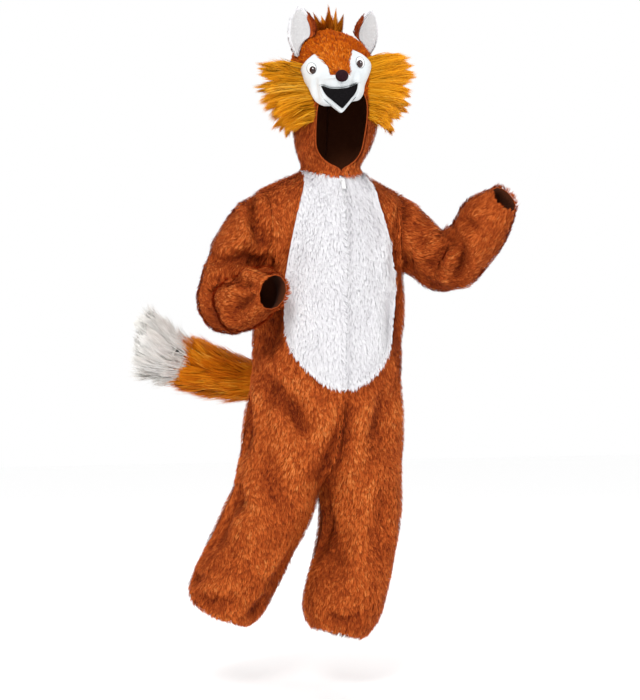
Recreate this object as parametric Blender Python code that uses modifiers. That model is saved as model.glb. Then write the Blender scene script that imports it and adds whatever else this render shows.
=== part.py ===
"""A child's fox costume in its worn shape: a plush jumpsuit with a white belly, a fox's head hood and a tail.

Metres. The costume faces -Y, its wearer's left is +X and +Z is up. The origin is where the wearer's
shoulders hold it, in the middle of the neckline.
"""

import math

import bmesh
import bpy
import numpy as np
from mathutils import Matrix, Vector
from mathutils.bvhtree import BVHTree

# An empty scene, with one collection for the costume and one for the shapes that cut it
for thing in list(bpy.data.objects):
    bpy.data.objects.remove(thing)
costume = bpy.data.collections.new("fox_costume")
cutters = bpy.data.collections.new("cutters")
bpy.context.scene.collection.children.link(costume)
bpy.context.scene.collection.children.link(cutters)

# Cloth and seams
PLUSH = 0.006  # body plush, from its knitted back to the tips of its pile
SEAM = 0.0003  # gap between two pieces at a seam
ZIP_HALF = 0.0028  # half the width of the zip's chain

# Neck, shoulder and armhole of the left side; the right side is its mirror
NECK_HALF_WIDTH = 0.062
NECK_FRONT = 0.078
NECK_BACK = 0.064
NECK_FRONT_DIP = 0.015
NECK_BACK_RISE = 0.004
SHOULDER_TIP = np.array((0.152, 0.004, -0.040))
UNDERARM = np.array((0.158, 0.000, -0.205))
ARMHOLE_FRONT_BOW = np.array((-0.016, -0.058, 0.0))
ARMHOLE_BACK_BOW = np.array((-0.010, 0.056, 0.0))

# Rows and columns of the panels
NECK_STEPS = 6  # from the side of the neck to its centre
YOKE_STEPS = 12  # from the shoulder seam to the underarm
COLUMNS = 8
BELLY_COLUMNS = 4


def table(columns, rows):
    """A table with named columns, as a dictionary of arrays."""
    return dict(zip(columns.split(), np.array(rows, float).T))


# The trunk, from the underarm to the crotch. Share is how far each side has turned into a leg.
TRUNK = table(
    "drop sway width front back share",
    (
        (0.205, 0.000, 0.158, 0.112, 0.108, 0.00),
        (0.270, -0.002, 0.157, 0.119, 0.108, 0.00),
        (0.350, -0.005, 0.159, 0.124, 0.110, 0.00),
        (0.426, -0.007, 0.159, 0.126, 0.114, 0.00),
        (0.500, -0.013, 0.165, 0.124, 0.118, 0.00),
        (0.545, -0.015, 0.169, 0.118, 0.118, 0.05),
        (0.600, -0.020, 0.174, 0.110, 0.113, 0.52),
        (0.655, -0.027, 0.178, 0.102, 0.106, 1.00),
    ),
)
TRUNK_ROWS = (
    0.205, 0.240, 0.275, 0.310, 0.345, 0.378, 0.406, 0.427, 0.440,
    0.4465, 0.4495, 0.4503, 0.476, 0.510, 0.545, 0.580, 0.612, 0.635, 0.655,
)

# The legs, from the crotch to the gathered hem. Tilt is how far a section leans with its leg.
RIGHT_LEG = table(
    "step drop x y width depth tilt",
    (
        (0.0, 0.655, -0.116, 0.000, 0.0890, 0.104, 0.00),
        (1.0, 0.700, -0.131, 0.003, 0.0870, 0.100, 0.50),
        (2.0, 0.750, -0.153, 0.010, 0.0865, 0.097, 1.00),
        (3.0, 0.800, -0.177, 0.018, 0.0875, 0.095, 1.00),
        (4.0, 0.850, -0.201, 0.025, 0.0880, 0.092, 1.00),
        (5.0, 0.888, -0.218, 0.029, 0.0830, 0.087, 1.00),
        (5.6, 0.909, -0.227, 0.031, 0.0700, 0.075, 1.00),
        (6.0, 0.914, -0.230, 0.031, 0.0560, 0.060, 1.00),
        (6.4, 0.908, -0.228, 0.031, 0.0470, 0.050, 1.00),
    ),
)
LEFT_LEG = table(
    "step drop x y width depth tilt",
    (
        (0.0, 0.655, 0.062, 0.000, 0.0890, 0.104, 0.00),
        (1.0, 0.705, 0.065, -0.004, 0.0835, 0.100, 0.50),
        (2.0, 0.760, 0.058, -0.009, 0.0815, 0.097, 1.00),
        (3.0, 0.815, 0.045, -0.015, 0.0835, 0.095, 1.00),
        (4.0, 0.870, 0.027, -0.021, 0.0855, 0.092, 1.00),
        (5.0, 0.918, 0.012, -0.027, 0.0810, 0.087, 1.00),
        (5.6, 0.944, 0.006, -0.030, 0.0660, 0.072, 1.00),
        (6.0, 0.950, 0.004, -0.031, 0.0540, 0.058, 1.00),
        (6.4, 0.943, 0.005, -0.031, 0.0460, 0.049, 1.00),
    ),
)
LEG_ROWS = (0.5, 1.1, 1.8, 2.5, 3.2, 3.9, 4.5, 5.0, 5.35, 5.7, 6.0, 6.4)
LEG_GATHERS_FROM = 4.2
LEG_GATHER_DEPTH = 0.0030

# Half the width of the white belly panel at each depth below the neckline
BELLY = table(
    "drop half_width",
    (
        (-0.010, 0.060), (0.037, 0.076), (0.100, 0.094), (0.170, 0.109), (0.266, 0.119),
        (0.330, 0.114), (0.375, 0.101), (0.410, 0.078), (0.430, 0.053), (0.4465, 0.019), (0.4495, 0.0028),
    ),
)

# The sleeves' sections from the armhole to the wrist, from a point on top to one below, and half their depth
LEFT_SLEEVE = table(
    "step top_x top_y top_z low_x low_y low_z depth",
    (
        (1.0, 0.186, -0.004, -0.060, 0.1830, -0.0030, -0.2190, 0.062),
        (2.0, 0.210, -0.022, -0.090, 0.2160, -0.0300, -0.2460, 0.068),
        (3.0, 0.229, -0.045, -0.110, 0.2560, -0.0600, -0.2470, 0.070),
        (4.0, 0.235, -0.070, -0.113, 0.2900, -0.0950, -0.2220, 0.069),
        (5.0, 0.240, -0.090, -0.102, 0.3180, -0.1150, -0.1860, 0.066),
        (6.0, 0.246, -0.105, -0.083, 0.3360, -0.1350, -0.1520, 0.060),
        (7.0, 0.255, -0.125, -0.060, 0.3460, -0.1550, -0.1120, 0.052),
        (7.6, 0.284, -0.147, -0.043, 0.3440, -0.1710, -0.0970, 0.036),
        (8.0, 0.302, -0.160, -0.037, 0.3360, -0.1800, -0.0880, 0.031),
    ),
)
RIGHT_SLEEVE = table(
    "step top_x top_y top_z low_x low_y low_z depth",
    (
        (1.0, -0.199, 0.006, -0.075, -0.1700, 0.0020, -0.2085, 0.060),
        (2.0, -0.240, 0.006, -0.130, -0.1740, 0.0020, -0.2230, 0.062),
        (3.0, -0.272, 0.006, -0.195, -0.1765, -0.0090, -0.2370, 0.063),
        (4.0, -0.279, 0.018, -0.262, -0.1790, -0.0360, -0.2400, 0.064),
        (5.0, -0.267, 0.010, -0.312, -0.1790, -0.0660, -0.2320, 0.062),
        (6.0, -0.247, -0.034, -0.338, -0.1740, -0.0940, -0.2150, 0.058),
        (7.0, -0.222, -0.088, -0.333, -0.1650, -0.1240, -0.2040, 0.051),
        (7.6, -0.193, -0.136, -0.306, -0.1600, -0.1540, -0.2120, 0.037),
        (8.0, -0.178, -0.158, -0.292, -0.1580, -0.1680, -0.2220, 0.034),
    ),
)
SLEEVE_ROWS = (0.5, 1.0, 1.5, 2.0, 2.35, 2.7, 3.05, 3.4, 3.75, 4.2, 4.7, 5.2, 5.8, 6.4, 6.9, 7.3, 7.65, 8.0)
SLEEVE_GATHERS_FROM = 6.2
SLEEVE_GATHER_DEPTH = 0.0024

# The hood's sections from the chin to the crown, and half the width of its face opening
HOOD = table(
    "height x y width front back opening",
    (
        (0.000, 0.000, 0.000, 0.062, 0.079, 0.064, 0.0000),
        (0.008, 0.001, -0.001, 0.063, 0.082, 0.066, 0.0000),
        (0.014, 0.002, -0.002, 0.065, 0.084, 0.068, 0.0440),
        (0.024, 0.003, -0.003, 0.069, 0.085, 0.072, 0.0470),
        (0.040, 0.004, -0.005, 0.076, 0.087, 0.080, 0.0490),
        (0.065, 0.006, -0.008, 0.084, 0.089, 0.090, 0.0510),
        (0.095, 0.008, -0.010, 0.090, 0.090, 0.097, 0.0530),
        (0.125, 0.010, -0.010, 0.093, 0.091, 0.102, 0.0520),
        (0.150, 0.011, -0.010, 0.093, 0.092, 0.104, 0.0450),
        (0.160, 0.011, -0.010, 0.093, 0.092, 0.105, 0.0300),
        (0.166, 0.011, -0.010, 0.092, 0.092, 0.105, 0.0000),
        (0.195, 0.008, -0.010, 0.093, 0.091, 0.104, 0.0000),
        (0.223, 0.004, -0.008, 0.090, 0.087, 0.099, 0.0000),
        (0.248, 0.000, -0.006, 0.081, 0.077, 0.088, 0.0000),
        (0.270, -0.003, -0.003, 0.066, 0.060, 0.068, 0.0000),
        (0.285, -0.005, 0.000, 0.044, 0.038, 0.043, 0.0000),
        (0.2930, -0.006, 0.001, 0.018, 0.015, 0.017, 0.0000),
        (0.2945, -0.006, 0.001, 0.002, 0.002, 0.002, 0.0000),
    ),
)
HOOD_TURN = math.radians(-7)  # the head looks a little to its right

# Large folds of the body, seen from the front or back: a trough of that width and depth between two points
BODY_FOLDS = table(
    "facing x0 z0 x1 z1 width depth",
    (
        (-1, -0.118, -0.300, -0.122, -0.400, 0.016, 0.008),
        (-1, -0.122, -0.400, -0.060, -0.560, 0.018, 0.011),
        (-1, -0.142, -0.380, -0.104, -0.560, 0.016, -0.007),
        (-1, -0.120, -0.470, -0.112, -0.520, 0.010, 0.005),
        (-1, 0.105, -0.455, 0.082, -0.590, 0.015, 0.008),
        (-1, 0.070, -0.470, 0.030, -0.600, 0.016, -0.006),
        (-1, 0.128, -0.110, 0.120, -0.230, 0.012, 0.006),
        (-1, -0.118, -0.080, -0.126, -0.240, 0.013, 0.009),
        (-1, -0.095, -0.100, -0.112, -0.240, 0.012, 0.005),
        (-1, -0.232, -0.760, -0.205, -0.800, 0.015, 0.008),
        (-1, -0.250, -0.870, -0.170, -0.885, 0.012, 0.007),
        (-1, 0.085, -0.820, 0.020, -0.905, 0.014, 0.007),
        (-1, -0.020, -0.840, -0.030, -0.910, 0.012, 0.006),
        (1, -0.060, -0.230, -0.020, -0.420, 0.018, 0.008),
        (1, 0.070, -0.210, 0.030, -0.400, 0.018, 0.008),
        (1, 0.110, -0.430, 0.040, -0.600, 0.018, 0.010),
        (1, -0.115, -0.440, -0.050, -0.610, 0.018, 0.010),
        (1, -0.215, -0.800, -0.140, -0.850, 0.015, 0.008),
        (1, 0.000, -0.800, 0.085, -0.850, 0.015, 0.008),
        (1, 0.120, -0.090, 0.110, -0.200, 0.013, 0.006),
        (1, -0.120, -0.090, -0.110, -0.200, 0.013, 0.006),
    ),
)

# Large folds of the sleeves: step along the sleeve, turns round it from the shoulder, spread and depth.
# Skew is how many steps the fold climbs in one turn.
SLEEVE_FOLDS = "step turn length spread depth skew"
LEFT_SLEEVE_FOLDS = table(
    SLEEVE_FOLDS,
    (
        (2.35, 0.16, 0.26, 0.22, 0.010, -1.0),
        (2.95, 0.14, 0.24, 0.20, 0.010, -0.6),
        (3.55, 0.16, 0.26, 0.22, 0.011, 0.4),
        (4.60, 0.06, 0.30, 0.10, 0.008, 2.0),
        (5.60, 0.20, 0.45, 0.10, 0.005, 2.0),
        (2.60, 0.86, 0.30, 0.16, 0.008, 0.8),
        (3.40, 0.84, 0.30, 0.16, 0.008, -0.8),
    ),
)
RIGHT_SLEEVE_FOLDS = table(
    SLEEVE_FOLDS,
    (
        (3.00, 0.20, 0.30, 0.24, 0.012, 0.6),
        (3.60, 0.10, 0.28, 0.20, 0.008, 1.2),
        (4.50, 0.12, 0.30, 0.22, 0.008, 1.6),
        (5.40, 0.14, 0.32, 0.22, 0.010, 2.2),
        (6.20, 0.12, 0.34, 0.16, 0.007, 2.2),
        (2.40, 0.80, 0.34, 0.18, 0.007, 1.0),
        (4.60, 0.62, 0.50, 0.16, 0.006, -1.2),
    ),
)


def curve(keys, values, at):
    """Values at the given stations, on a cubic curve through a table's rows."""
    at = np.clip(np.asarray(at, float), keys[0], keys[-1])
    slopes = np.gradient(values, keys)
    i = np.clip(np.searchsorted(keys, at, side="right") - 1, 0, len(keys) - 2)
    step = keys[i + 1] - keys[i]
    t = (at - keys[i]) / step
    return (
        values[i] * (1 + 2 * t) * (1 - t) ** 2
        + slopes[i] * step * t * (1 - t) ** 2
        + values[i + 1] * t * t * (3 - 2 * t)
        - slopes[i + 1] * step * t * t * (1 - t)
    )


def read(rows, key, at):
    """Every column of a table at the given stations of its key column."""
    return {name: curve(rows[key], values, at) for name, values in rows.items()}


def unit(vectors):
    """Vectors of length one."""
    lengths = np.linalg.norm(vectors, axis=-1, keepdims=True)
    return vectors / np.maximum(lengths, 1e-12)


def neckline(step, facing):
    """A point of the neckline, from the side of the neck at step 0 to its centre.
    Facing is -1 in front and 1 behind."""
    angle = math.pi / 2 * step / NECK_STEPS
    depth = NECK_FRONT if facing < 0 else NECK_BACK
    rise = -NECK_FRONT_DIP if facing < 0 else NECK_BACK_RISE
    x, y = NECK_HALF_WIDTH * math.cos(angle), facing * depth * math.sin(angle)
    return np.array((x, y, rise * math.sin(angle) ** 2))


def armhole(step, facing):
    """A point of the armhole seam, from the shoulder tip at step 0 to the underarm at YOKE_STEPS."""
    angle = math.pi * step / YOKE_STEPS
    bow = ARMHOLE_FRONT_BOW if facing < 0 else ARMHOLE_BACK_BOW
    middle, reach = (SHOULDER_TIP + UNDERARM) / 2, (SHOULDER_TIP - UNDERARM) / 2
    return middle + math.cos(angle) * reach + math.sin(angle) * bow


def yoke_row(step, facing, shares):
    """Points of one row above the underarm, from the neckline or the centre line to the armhole."""
    share = max(0.0, (step - NECK_STEPS) / (YOKE_STEPS - NECK_STEPS))
    start = neckline(min(step, NECK_STEPS), facing)
    depth = TRUNK["front"][0] if facing < 0 else TRUNK["back"][0]
    low = np.array((0.0, facing * depth, UNDERARM[2]))
    swell = np.array((0.0, facing * 0.006, 0.0)) * math.sin(math.pi * share)
    start = start + (low - start) * np.array((share, math.sin(share * math.pi / 2), share)) + swell
    end = armhole(step, facing)
    turn = math.radians(22 + 68 * (step / YOKE_STEPS) ** 1.2)
    swing = shares * turn
    sideways, deep = np.sin(swing) / math.sin(turn), (1 - np.cos(swing)) / (1 - math.cos(turn))
    weights = np.stack((sideways, deep, shares), axis=-1)
    return start + (end - start) * weights


def ring_row(centre, across, along, width, front, back, share, shares, facing):
    """Points of one row of a trunk or leg section, from its inner end to the side seam.
    Share is how far that side has turned into a leg."""
    first = -math.asin(min(1.0, share))
    angles = first + (math.pi / 2 - first) * shares
    depth = front if facing < 0 else back
    sideways = width * np.sin(angles)
    deep = facing * depth * np.cos(angles)
    return centre + sideways[:, None] * across + deep[:, None] * along


def trunk_row(drop, side, shares, facing):
    """One row of the trunk on one side, from the centre line round to the side seam."""
    row = read(TRUNK, "drop", drop)
    share = max(0.0, float(row["share"])) if drop > 0.51 else 0.0
    width = float(row["width"]) / (1 + share)
    centre = np.array((float(row["sway"]) + side * share * width, 0.0, -drop))
    across, along = np.array((side, 0.0, 0.0)), np.array((0.0, 1.0, 0.0))
    front, back = float(row["front"]), float(row["back"])
    return ring_row(centre, across, along, width, front, back, share, shares, facing)


def leg_row(step, side, shares, facing):
    """One row of a leg, from the inseam round to the side seam."""
    rows = RIGHT_LEG if side < 0 else LEFT_LEG
    row = read(rows, "step", step)
    near = read(rows, "step", min(step, 5.0) + np.array((-0.5, 0.5)))
    slope = np.array((np.ptp(near["x"]) * np.sign(near["x"][1] - near["x"][0]), near["y"][1] - near["y"][0]))
    slope = slope / (near["drop"][1] - near["drop"][0]) * float(row["tilt"])
    axis = unit(np.array((slope[0], slope[1], -1.0)))
    across = unit(np.array((1.0, 0.0, 0.0)) - axis[0] * axis) * side
    along = unit(np.array((0.0, 1.0, 0.0)) - axis[1] * axis)
    centre = np.array((float(row["x"]), float(row["y"]), -float(row["drop"])))
    depth = float(row["depth"])
    return ring_row(centre, across, along, float(row["width"]), depth, depth, 1.0, shares, facing)


def mirrored(points, side):
    """Points of the left side, carried over to the given side."""
    return points * np.array((side, 1.0, 1.0))


def fold_depth(rows, points, facing):
    """How deep the body's folds press at the given points."""
    depth = np.zeros(len(points))
    for face, x0, z0, x1, z1, width, deep in zip(*rows.values()):
        if face != facing:
            continue
        start, run = np.array((x0, z0)), np.array((x1 - x0, z1 - z0))
        flat = points[:, (0, 2)] - start
        along = np.clip(flat @ run / (run @ run), -0.3, 1.3)
        near = np.clip(along, 0.0, 1.0)
        off = np.linalg.norm(flat - along[:, None] * run, axis=1)
        ends = np.exp(-(((along - near) / 0.15) ** 2)) * (0.45 + 0.55 * np.sin(math.pi * (0.1 + 0.8 * near)))
        depth += deep * ends * np.exp(-((off / width) ** 2))
    return depth


def body_row(kind, at, side, shares, facing):
    """One row of the body on one side, with its folds and gathers."""
    if kind == "yoke":
        points = mirrored(yoke_row(at, facing, shares), side)
        weight = (1 - shares**6) * min(1.0, at / 3)
        if at <= NECK_STEPS:
            weight = weight * np.minimum(1.0, 4 * shares)
    else:
        points = trunk_row(at, side, shares, facing) if kind == "trunk" else leg_row(at, side, shares, facing)
        weight = np.sin(math.pi * np.clip(shares, 0.0, 1.0)) if kind == "leg" else 1 - shares**4
        if kind == "trunk" and at > 0.51:
            split = np.sin(math.pi * shares) * min(1.0, (at - 0.51) * 8)
            weight = weight * min(1.0, 8 * max(0.0, 0.60 - at)) + split
    points[:, 1] -= facing * weight * fold_depth(BODY_FOLDS, points, facing)
    if kind == "leg" and at > LEG_GATHERS_FROM:
        ramp = min(1.0, (at - LEG_GATHERS_FROM) / 1.0) ** 1.5
        here = read(RIGHT_LEG if side < 0 else LEFT_LEG, "step", at)
        middle = np.array((float(here["x"]), float(here["y"]), 0.0))
        outward = points - middle
        outward[:, 2] = 0.0
        odd = (np.arange(len(points)) % 2 == 1)[:, None]
        points = points + unit(outward) * np.where(odd, 0.35, -1.0) * LEG_GATHER_DEPTH * ramp
    return points


def belly_share(kind, at, side):
    """Where a row crosses the edge of the belly panel, as a share of the row. None where it lies below it."""
    if kind == "yoke" and at == 0:
        return 0.0
    if kind == "leg" or (kind == "trunk" and at > BELLY["drop"][-1] + 1e-6):
        return None
    tries = np.linspace(0.0, 1.0, 400)
    points = body_row(kind, at, side, tries, -1)
    sway = float(read(TRUNK, "drop", at)["sway"]) if kind == "trunk" else 0.0
    reach = side * (points[:, 0] - sway)
    edge = curve(BELLY["drop"], BELLY["half_width"], -points[:, 2])
    return float(np.interp(0.0, reach - edge, tries))


def zip_share(kind, at, side):
    """Where a row meets the edge of the zip, as a share of the row."""
    if kind == "yoke" and at <= NECK_STEPS:
        return 0.0
    tries = np.linspace(0.0, 0.2, 200)
    points = body_row(kind, at, side, tries, -1)
    return float(np.interp(ZIP_HALF, side * (points[:, 0] - points[0, 0]), tries))


ROWS = [("yoke", step) for step in range(YOKE_STEPS)]
ROWS += [("trunk", drop) for drop in TRUNK_ROWS]
ROWS += [("leg", step) for step in LEG_ROWS]

surfaces = {}


def add_surface(name, grids, closed=False, flip=False):
    """Store a surface made of grids of points. Points in one place become one point."""
    places, points, faces = {}, [], []
    for grid in grids:
        ids = np.zeros(grid.shape[:2], int)
        for i, row in enumerate(grid):
            for j, point in enumerate(row):
                key = tuple(np.round(point * 1e6).astype(int))
                if key not in places:
                    places[key] = len(points)
                    points.append(point)
                ids[i, j] = places[key]
        count = grid.shape[1]
        for i in range(grid.shape[0] - 1):
            for j in range(count if closed else count - 1):
                k = (j + 1) % count
                face = [ids[i, j], ids[i + 1, j], ids[i + 1, k], ids[i, k]]
                face = [v for n, v in enumerate(face) if v != face[n - 1]]
                if len(face) > 2:
                    faces.append(face[::-1] if flip else face)
    surfaces[name] = (np.array(points), faces)


def corner_normals(points, faces):
    """The sum of the faces' normals at each point, each by its angle there."""
    total = np.zeros_like(points)
    for face in faces:
        loop = points[face]
        area = np.zeros(3)
        for k in range(1, len(face) - 1):
            area = area + np.cross(loop[k] - loop[0], loop[k + 1] - loop[0])
        normal = area / max(np.linalg.norm(area), 1e-15)
        for n, vertex in enumerate(face):
            before, after = unit(loop[n - 1] - loop[n]), unit(loop[(n + 1) % len(face)] - loop[n])
            total[vertex] += normal * math.acos(max(-1.0, min(1.0, float(before @ after))))
    return total


def make_walls(names, thickness, seam=SEAM):
    """Give each of the named surfaces its wall. Neighbours turn alike at a seam, and a gap is left there."""
    shared = {}
    for name in names:
        points, faces = surfaces[name]
        for point, normal in zip(points, corner_normals(points, faces)):
            key = tuple(np.round(point * 1e5).astype(int))
            shared[key] = shared.get(key, np.zeros(3)) + normal
    walls = {}
    for name in names:
        points, faces = surfaces[name]
        normals = unit(np.array([shared[tuple(np.round(p * 1e5).astype(int))] for p in points]))
        edges = {}
        for face in faces:
            for n, vertex in enumerate(face):
                edges[(face[n - 1], vertex)] = face
        rim = [edge for edge in edges if (edge[1], edge[0]) not in edges]
        inward = np.zeros_like(points)
        for a, b in rim:
            step = unit(np.cross(normals[a] + normals[b], points[b] - points[a]))
            for vertex in (a, b):
                inward[vertex] += step
        pull = np.linalg.norm(inward, axis=1)[:, None]
        inward = inward / np.maximum(pull, 1e-9) / np.clip(pull / 2, 0.5, 1.0)
        moved = points + inward * (pull > 0) * seam / 2
        top, under = (0.0, thickness) if np.isscalar(thickness) else thickness[name]
        outer, inner = moved - normals * top, moved - normals * under
        count = len(points)
        solid = [tuple(face) for face in faces] + [tuple(v + count for v in reversed(face)) for face in faces]
        solid += [(b, a, a + count, b + count) for a, b in rim]
        walls[name] = (np.vstack((outer, inner)), solid)
    return walls


# Fronts, backs, belly and zip, row by row
zip_rows = []
for side, word in ((1, "left"), (-1, "right")):
    front, belly, back = [], [], []
    for kind, at in ROWS:
        split = belly_share(kind, at, side)
        first = 0.0 if split is None else split
        front.append(body_row(kind, at, side, np.linspace(first, 1.0, COLUMNS + 1), -1))
        back.append(body_row(kind, at, side, np.linspace(0.0, 1.0, COLUMNS + 1), 1))
        if split is not None:
            middle = zip_share(kind, at, side)
            spread = np.linspace(min(middle, split), split, BELLY_COLUMNS + 1)
            belly.append(body_row(kind, at, side, spread, -1))
            if side > 0 and not (kind == "yoke" and at <= NECK_STEPS):
                zip_rows.append(body_row(kind, at, 1, np.array((middle, 0.0)), -1))
    add_surface("front_" + word, [np.array(front)], flip=side < 0)
    add_surface("back_" + word, [np.array(back)], flip=side > 0)
    add_surface("belly_" + word, [np.array(belly)], flip=side < 0)
for number, row in enumerate(zip_rows):
    centre_line = row[1] * np.array((1, 0, 0))
    zip_rows[number] = np.vstack((row, mirrored(row[:1] - centre_line, -1) + centre_line))
add_surface("zip_chain", [np.array(zip_rows)], flip=True)


# Sleeves, each a tube from the armhole to a gathered wrist
for side, word, rows, folds in (
    (1, "left", LEFT_SLEEVE, LEFT_SLEEVE_FOLDS),
    (-1, "right", RIGHT_SLEEVE, RIGHT_SLEEVE_FOLDS),
):
    ring = [armhole(step, -1) for step in range(YOKE_STEPS + 1)]
    ring += [armhole(step, 1) for step in range(YOKE_STEPS - 1, 0, -1)]
    ring = mirrored(np.array(ring), side)
    count = len(ring)
    turns = np.arange(count) / count
    angles = 2 * math.pi * turns
    first = {"step": 0.0, "depth": 0.057}
    for n, axis in enumerate("xyz"):
        first["top_" + axis], first["low_" + axis] = ring[0][n], ring[YOKE_STEPS][n]
    path = {name: np.concatenate(([first[name]], values)) for name, values in rows.items()}
    grid = [ring]
    for step in SLEEVE_ROWS:
        here = read(path, "step", step)
        near = read(path, "step", np.clip(step + np.array((-0.4, 0.4)), 0.0, 8.0))
        top = np.array([float(here["top_" + n]) for n in "xyz"])
        low = np.array([float(here["low_" + n]) for n in "xyz"])
        ahead = np.array([np.diff(near["top_" + n] + near["low_" + n])[0] for n in "xyz"])
        up = unit(top - low)
        front = unit(np.cross(ahead, up)) * side
        across = np.linalg.norm(top - low) / 2
        depth = float(here["depth"])
        radial = across * np.cos(angles)[:, None] * up + depth * np.sin(angles)[:, None] * front
        press = np.zeros(count)
        for at, turn, length, spread, deep, skew in zip(*folds.values()):
            off = (turns - turn + 0.5) % 1.0 - 0.5
            climb = step - at - skew * off
            press += deep * np.exp(-((climb / length) ** 2)) * np.exp(-((off / spread) ** 2))
        press = press * min(1.0, step / 1.0)
        ramp = min(1.0, max(0.0, (step - SLEEVE_GATHERS_FROM) / 1.2)) ** 1.3
        press = press + np.where(np.arange(count) % 2 == 1, -0.3, 1.0) * SLEEVE_GATHER_DEPTH * ramp
        points = (top + low) / 2 + radial - unit(radial) * press[:, None]
        blend = min(1.0, step / 1.0) ** 0.8
        if blend < 1.0:
            points = (ring + (top + low - ring[0] - ring[YOKE_STEPS]) / 2) * (1 - blend) + points * blend
        grid.append(points)
    add_surface("sleeve_" + word, [np.array(grid)], closed=True, flip=side > 0)


def hood_row(height, side, shares):
    """Points of one row of the hood on one side, from its face opening round to the centre back."""
    row = read(HOOD, "height", height)
    width, front, back = float(row["width"]), float(row["front"]), float(row["back"])
    opening = max(0.0, float(row["opening"]))
    first = math.asin(min(1.0, opening / width)) if opening > 1e-4 else 0.0
    angles = first + (math.pi - first) * shares
    deep = np.where(np.cos(angles) > 0, front, back)
    x, y = side * width * np.sin(angles), -deep * np.cos(angles)
    turn = HOOD_TURN * min(1.0, max(0.0, height) / 0.05)
    x, y = x * math.cos(turn) + y * math.sin(-turn), x * math.sin(turn) + y * math.cos(turn)
    return np.stack((x + float(row["x"]), y + float(row["y"]), np.full(len(angles), height)), axis=1)


HOOD_ROWS = (
    0.008, 0.014, 0.024, 0.040, 0.062, 0.085, 0.108, 0.130, 0.150, 0.160, 0.166,
    0.184, 0.205, 0.226, 0.247, 0.264, 0.277, 0.287, 0.2925, 0.2945,
)
for side, word in ((1, "left"), (-1, "right")):
    grid = [
        mirrored(
            np.array(
                [neckline(step, -1) for step in range(NECK_STEPS, -1, -1)]
                + [neckline(step, 1) for step in range(1, NECK_STEPS + 1)]
            ),
            side,
        )
    ]
    shares = np.linspace(0.0, 1.0, 2 * NECK_STEPS + 1)
    for height in HOOD_ROWS:
        row = hood_row(height, side, shares)
        if height < 0.030:
            keep = (height / 0.030) ** 0.7
            lift = grid[0] + np.array((0.0, 0.0, height)) * (1 - grid[0][:, 2:3] / 0.03)
            row = lift * (1 - keep) + row * keep if height > 0.0079 else row
        grid.append(row)
    add_surface("hood_" + word, [np.array(grid)], flip=side > 0)

WALLED = ["front_left", "front_right", "back_left", "back_right", "belly_left", "belly_right", "zip_chain"]
WALLED += ["sleeve_left", "sleeve_right", "hood_left", "hood_right"]
THICKNESS = {name: (0.0, PLUSH) for name in WALLED}
THICKNESS["zip_chain"] = (0.0012, 0.0042)

walls = make_walls(WALLED, THICKNESS)

# Base colour of each kind of cloth, fur or plastic, by the first word of its pieces' names or by its own word
COLOURS = {
    "front": (0.41, 0.085, 0.020, 1.0),
    "back": (0.41, 0.085, 0.020, 1.0),
    "sleeve": (0.41, 0.085, 0.020, 1.0),
    "hood": (0.41, 0.085, 0.020, 1.0),
    "belly": (0.85, 0.84, 0.86, 1.0),
    "zip": (0.85, 0.85, 0.83, 1.0),
    "mask": (0.90, 0.92, 0.92, 1.0),
    "jaw": (0.90, 0.92, 0.92, 1.0),
    "bridge": (0.55, 0.17, 0.020, 1.0),
    "mouth": (0.012, 0.010, 0.010, 1.0),
    "nose": (0.020, 0.010, 0.012, 1.0),
    "eye": (0.030, 0.015, 0.010, 1.0),
    "ear": (0.30, 0.060, 0.015, 1.0),
    "lining": (0.80, 0.80, 0.80, 1.0),
    "ruff": (0.62, 0.26, 0.015, 1.0),
    "tuft": (0.41, 0.085, 0.020, 1.0),
    "tail": (0.45, 0.11, 0.010, 1.0),
    "tip": (0.72, 0.70, 0.62, 1.0),
}


def make_object(name, points, faces, colour, collection=costume):
    """A named object from points and faces, with its own material."""
    mesh = bpy.data.meshes.new(name)
    mesh.from_pydata([tuple(map(float, p)) for p in points], [], [tuple(map(int, f)) for f in faces])
    shape = bmesh.new()
    shape.from_mesh(mesh)
    bmesh.ops.remove_doubles(shape, verts=shape.verts, dist=1e-6)
    wide = [f for f in shape.faces if len(f.verts) > 3]
    bmesh.ops.triangulate(shape, faces=wide, quad_method="BEAUTY")
    if shape.calc_volume(signed=True) < 0:
        bmesh.ops.reverse_faces(shape, faces=shape.faces)
    shape.to_mesh(mesh)
    shape.free()
    thing = bpy.data.objects.new(name, mesh)
    collection.objects.link(thing)
    material = bpy.data.materials.new(name)
    material.use_nodes = True
    surface = material.node_tree.nodes["Principled BSDF"]
    surface.inputs["Base Color"].default_value = COLOURS[colour]
    surface.inputs["Roughness"].default_value = 0.9
    mesh.materials.append(material)
    return thing


for name in WALLED:
    points, faces = walls[name]
    make_object(name, points, faces, name.split("_")[0])


# The head's pads and fur lie on the hood, so they are placed by the turn round it and the height on it
FACE_TURN = math.radians(-5)  # the face's middle, from the hood's own middle
FACE_HEIGHT = 0.181
FACE_ROLL = math.radians(6.5)
FACE_RADIUS = 0.097
ON_CLOTH = 0.0012  # how far a piece stands off the cloth it lies on

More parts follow.
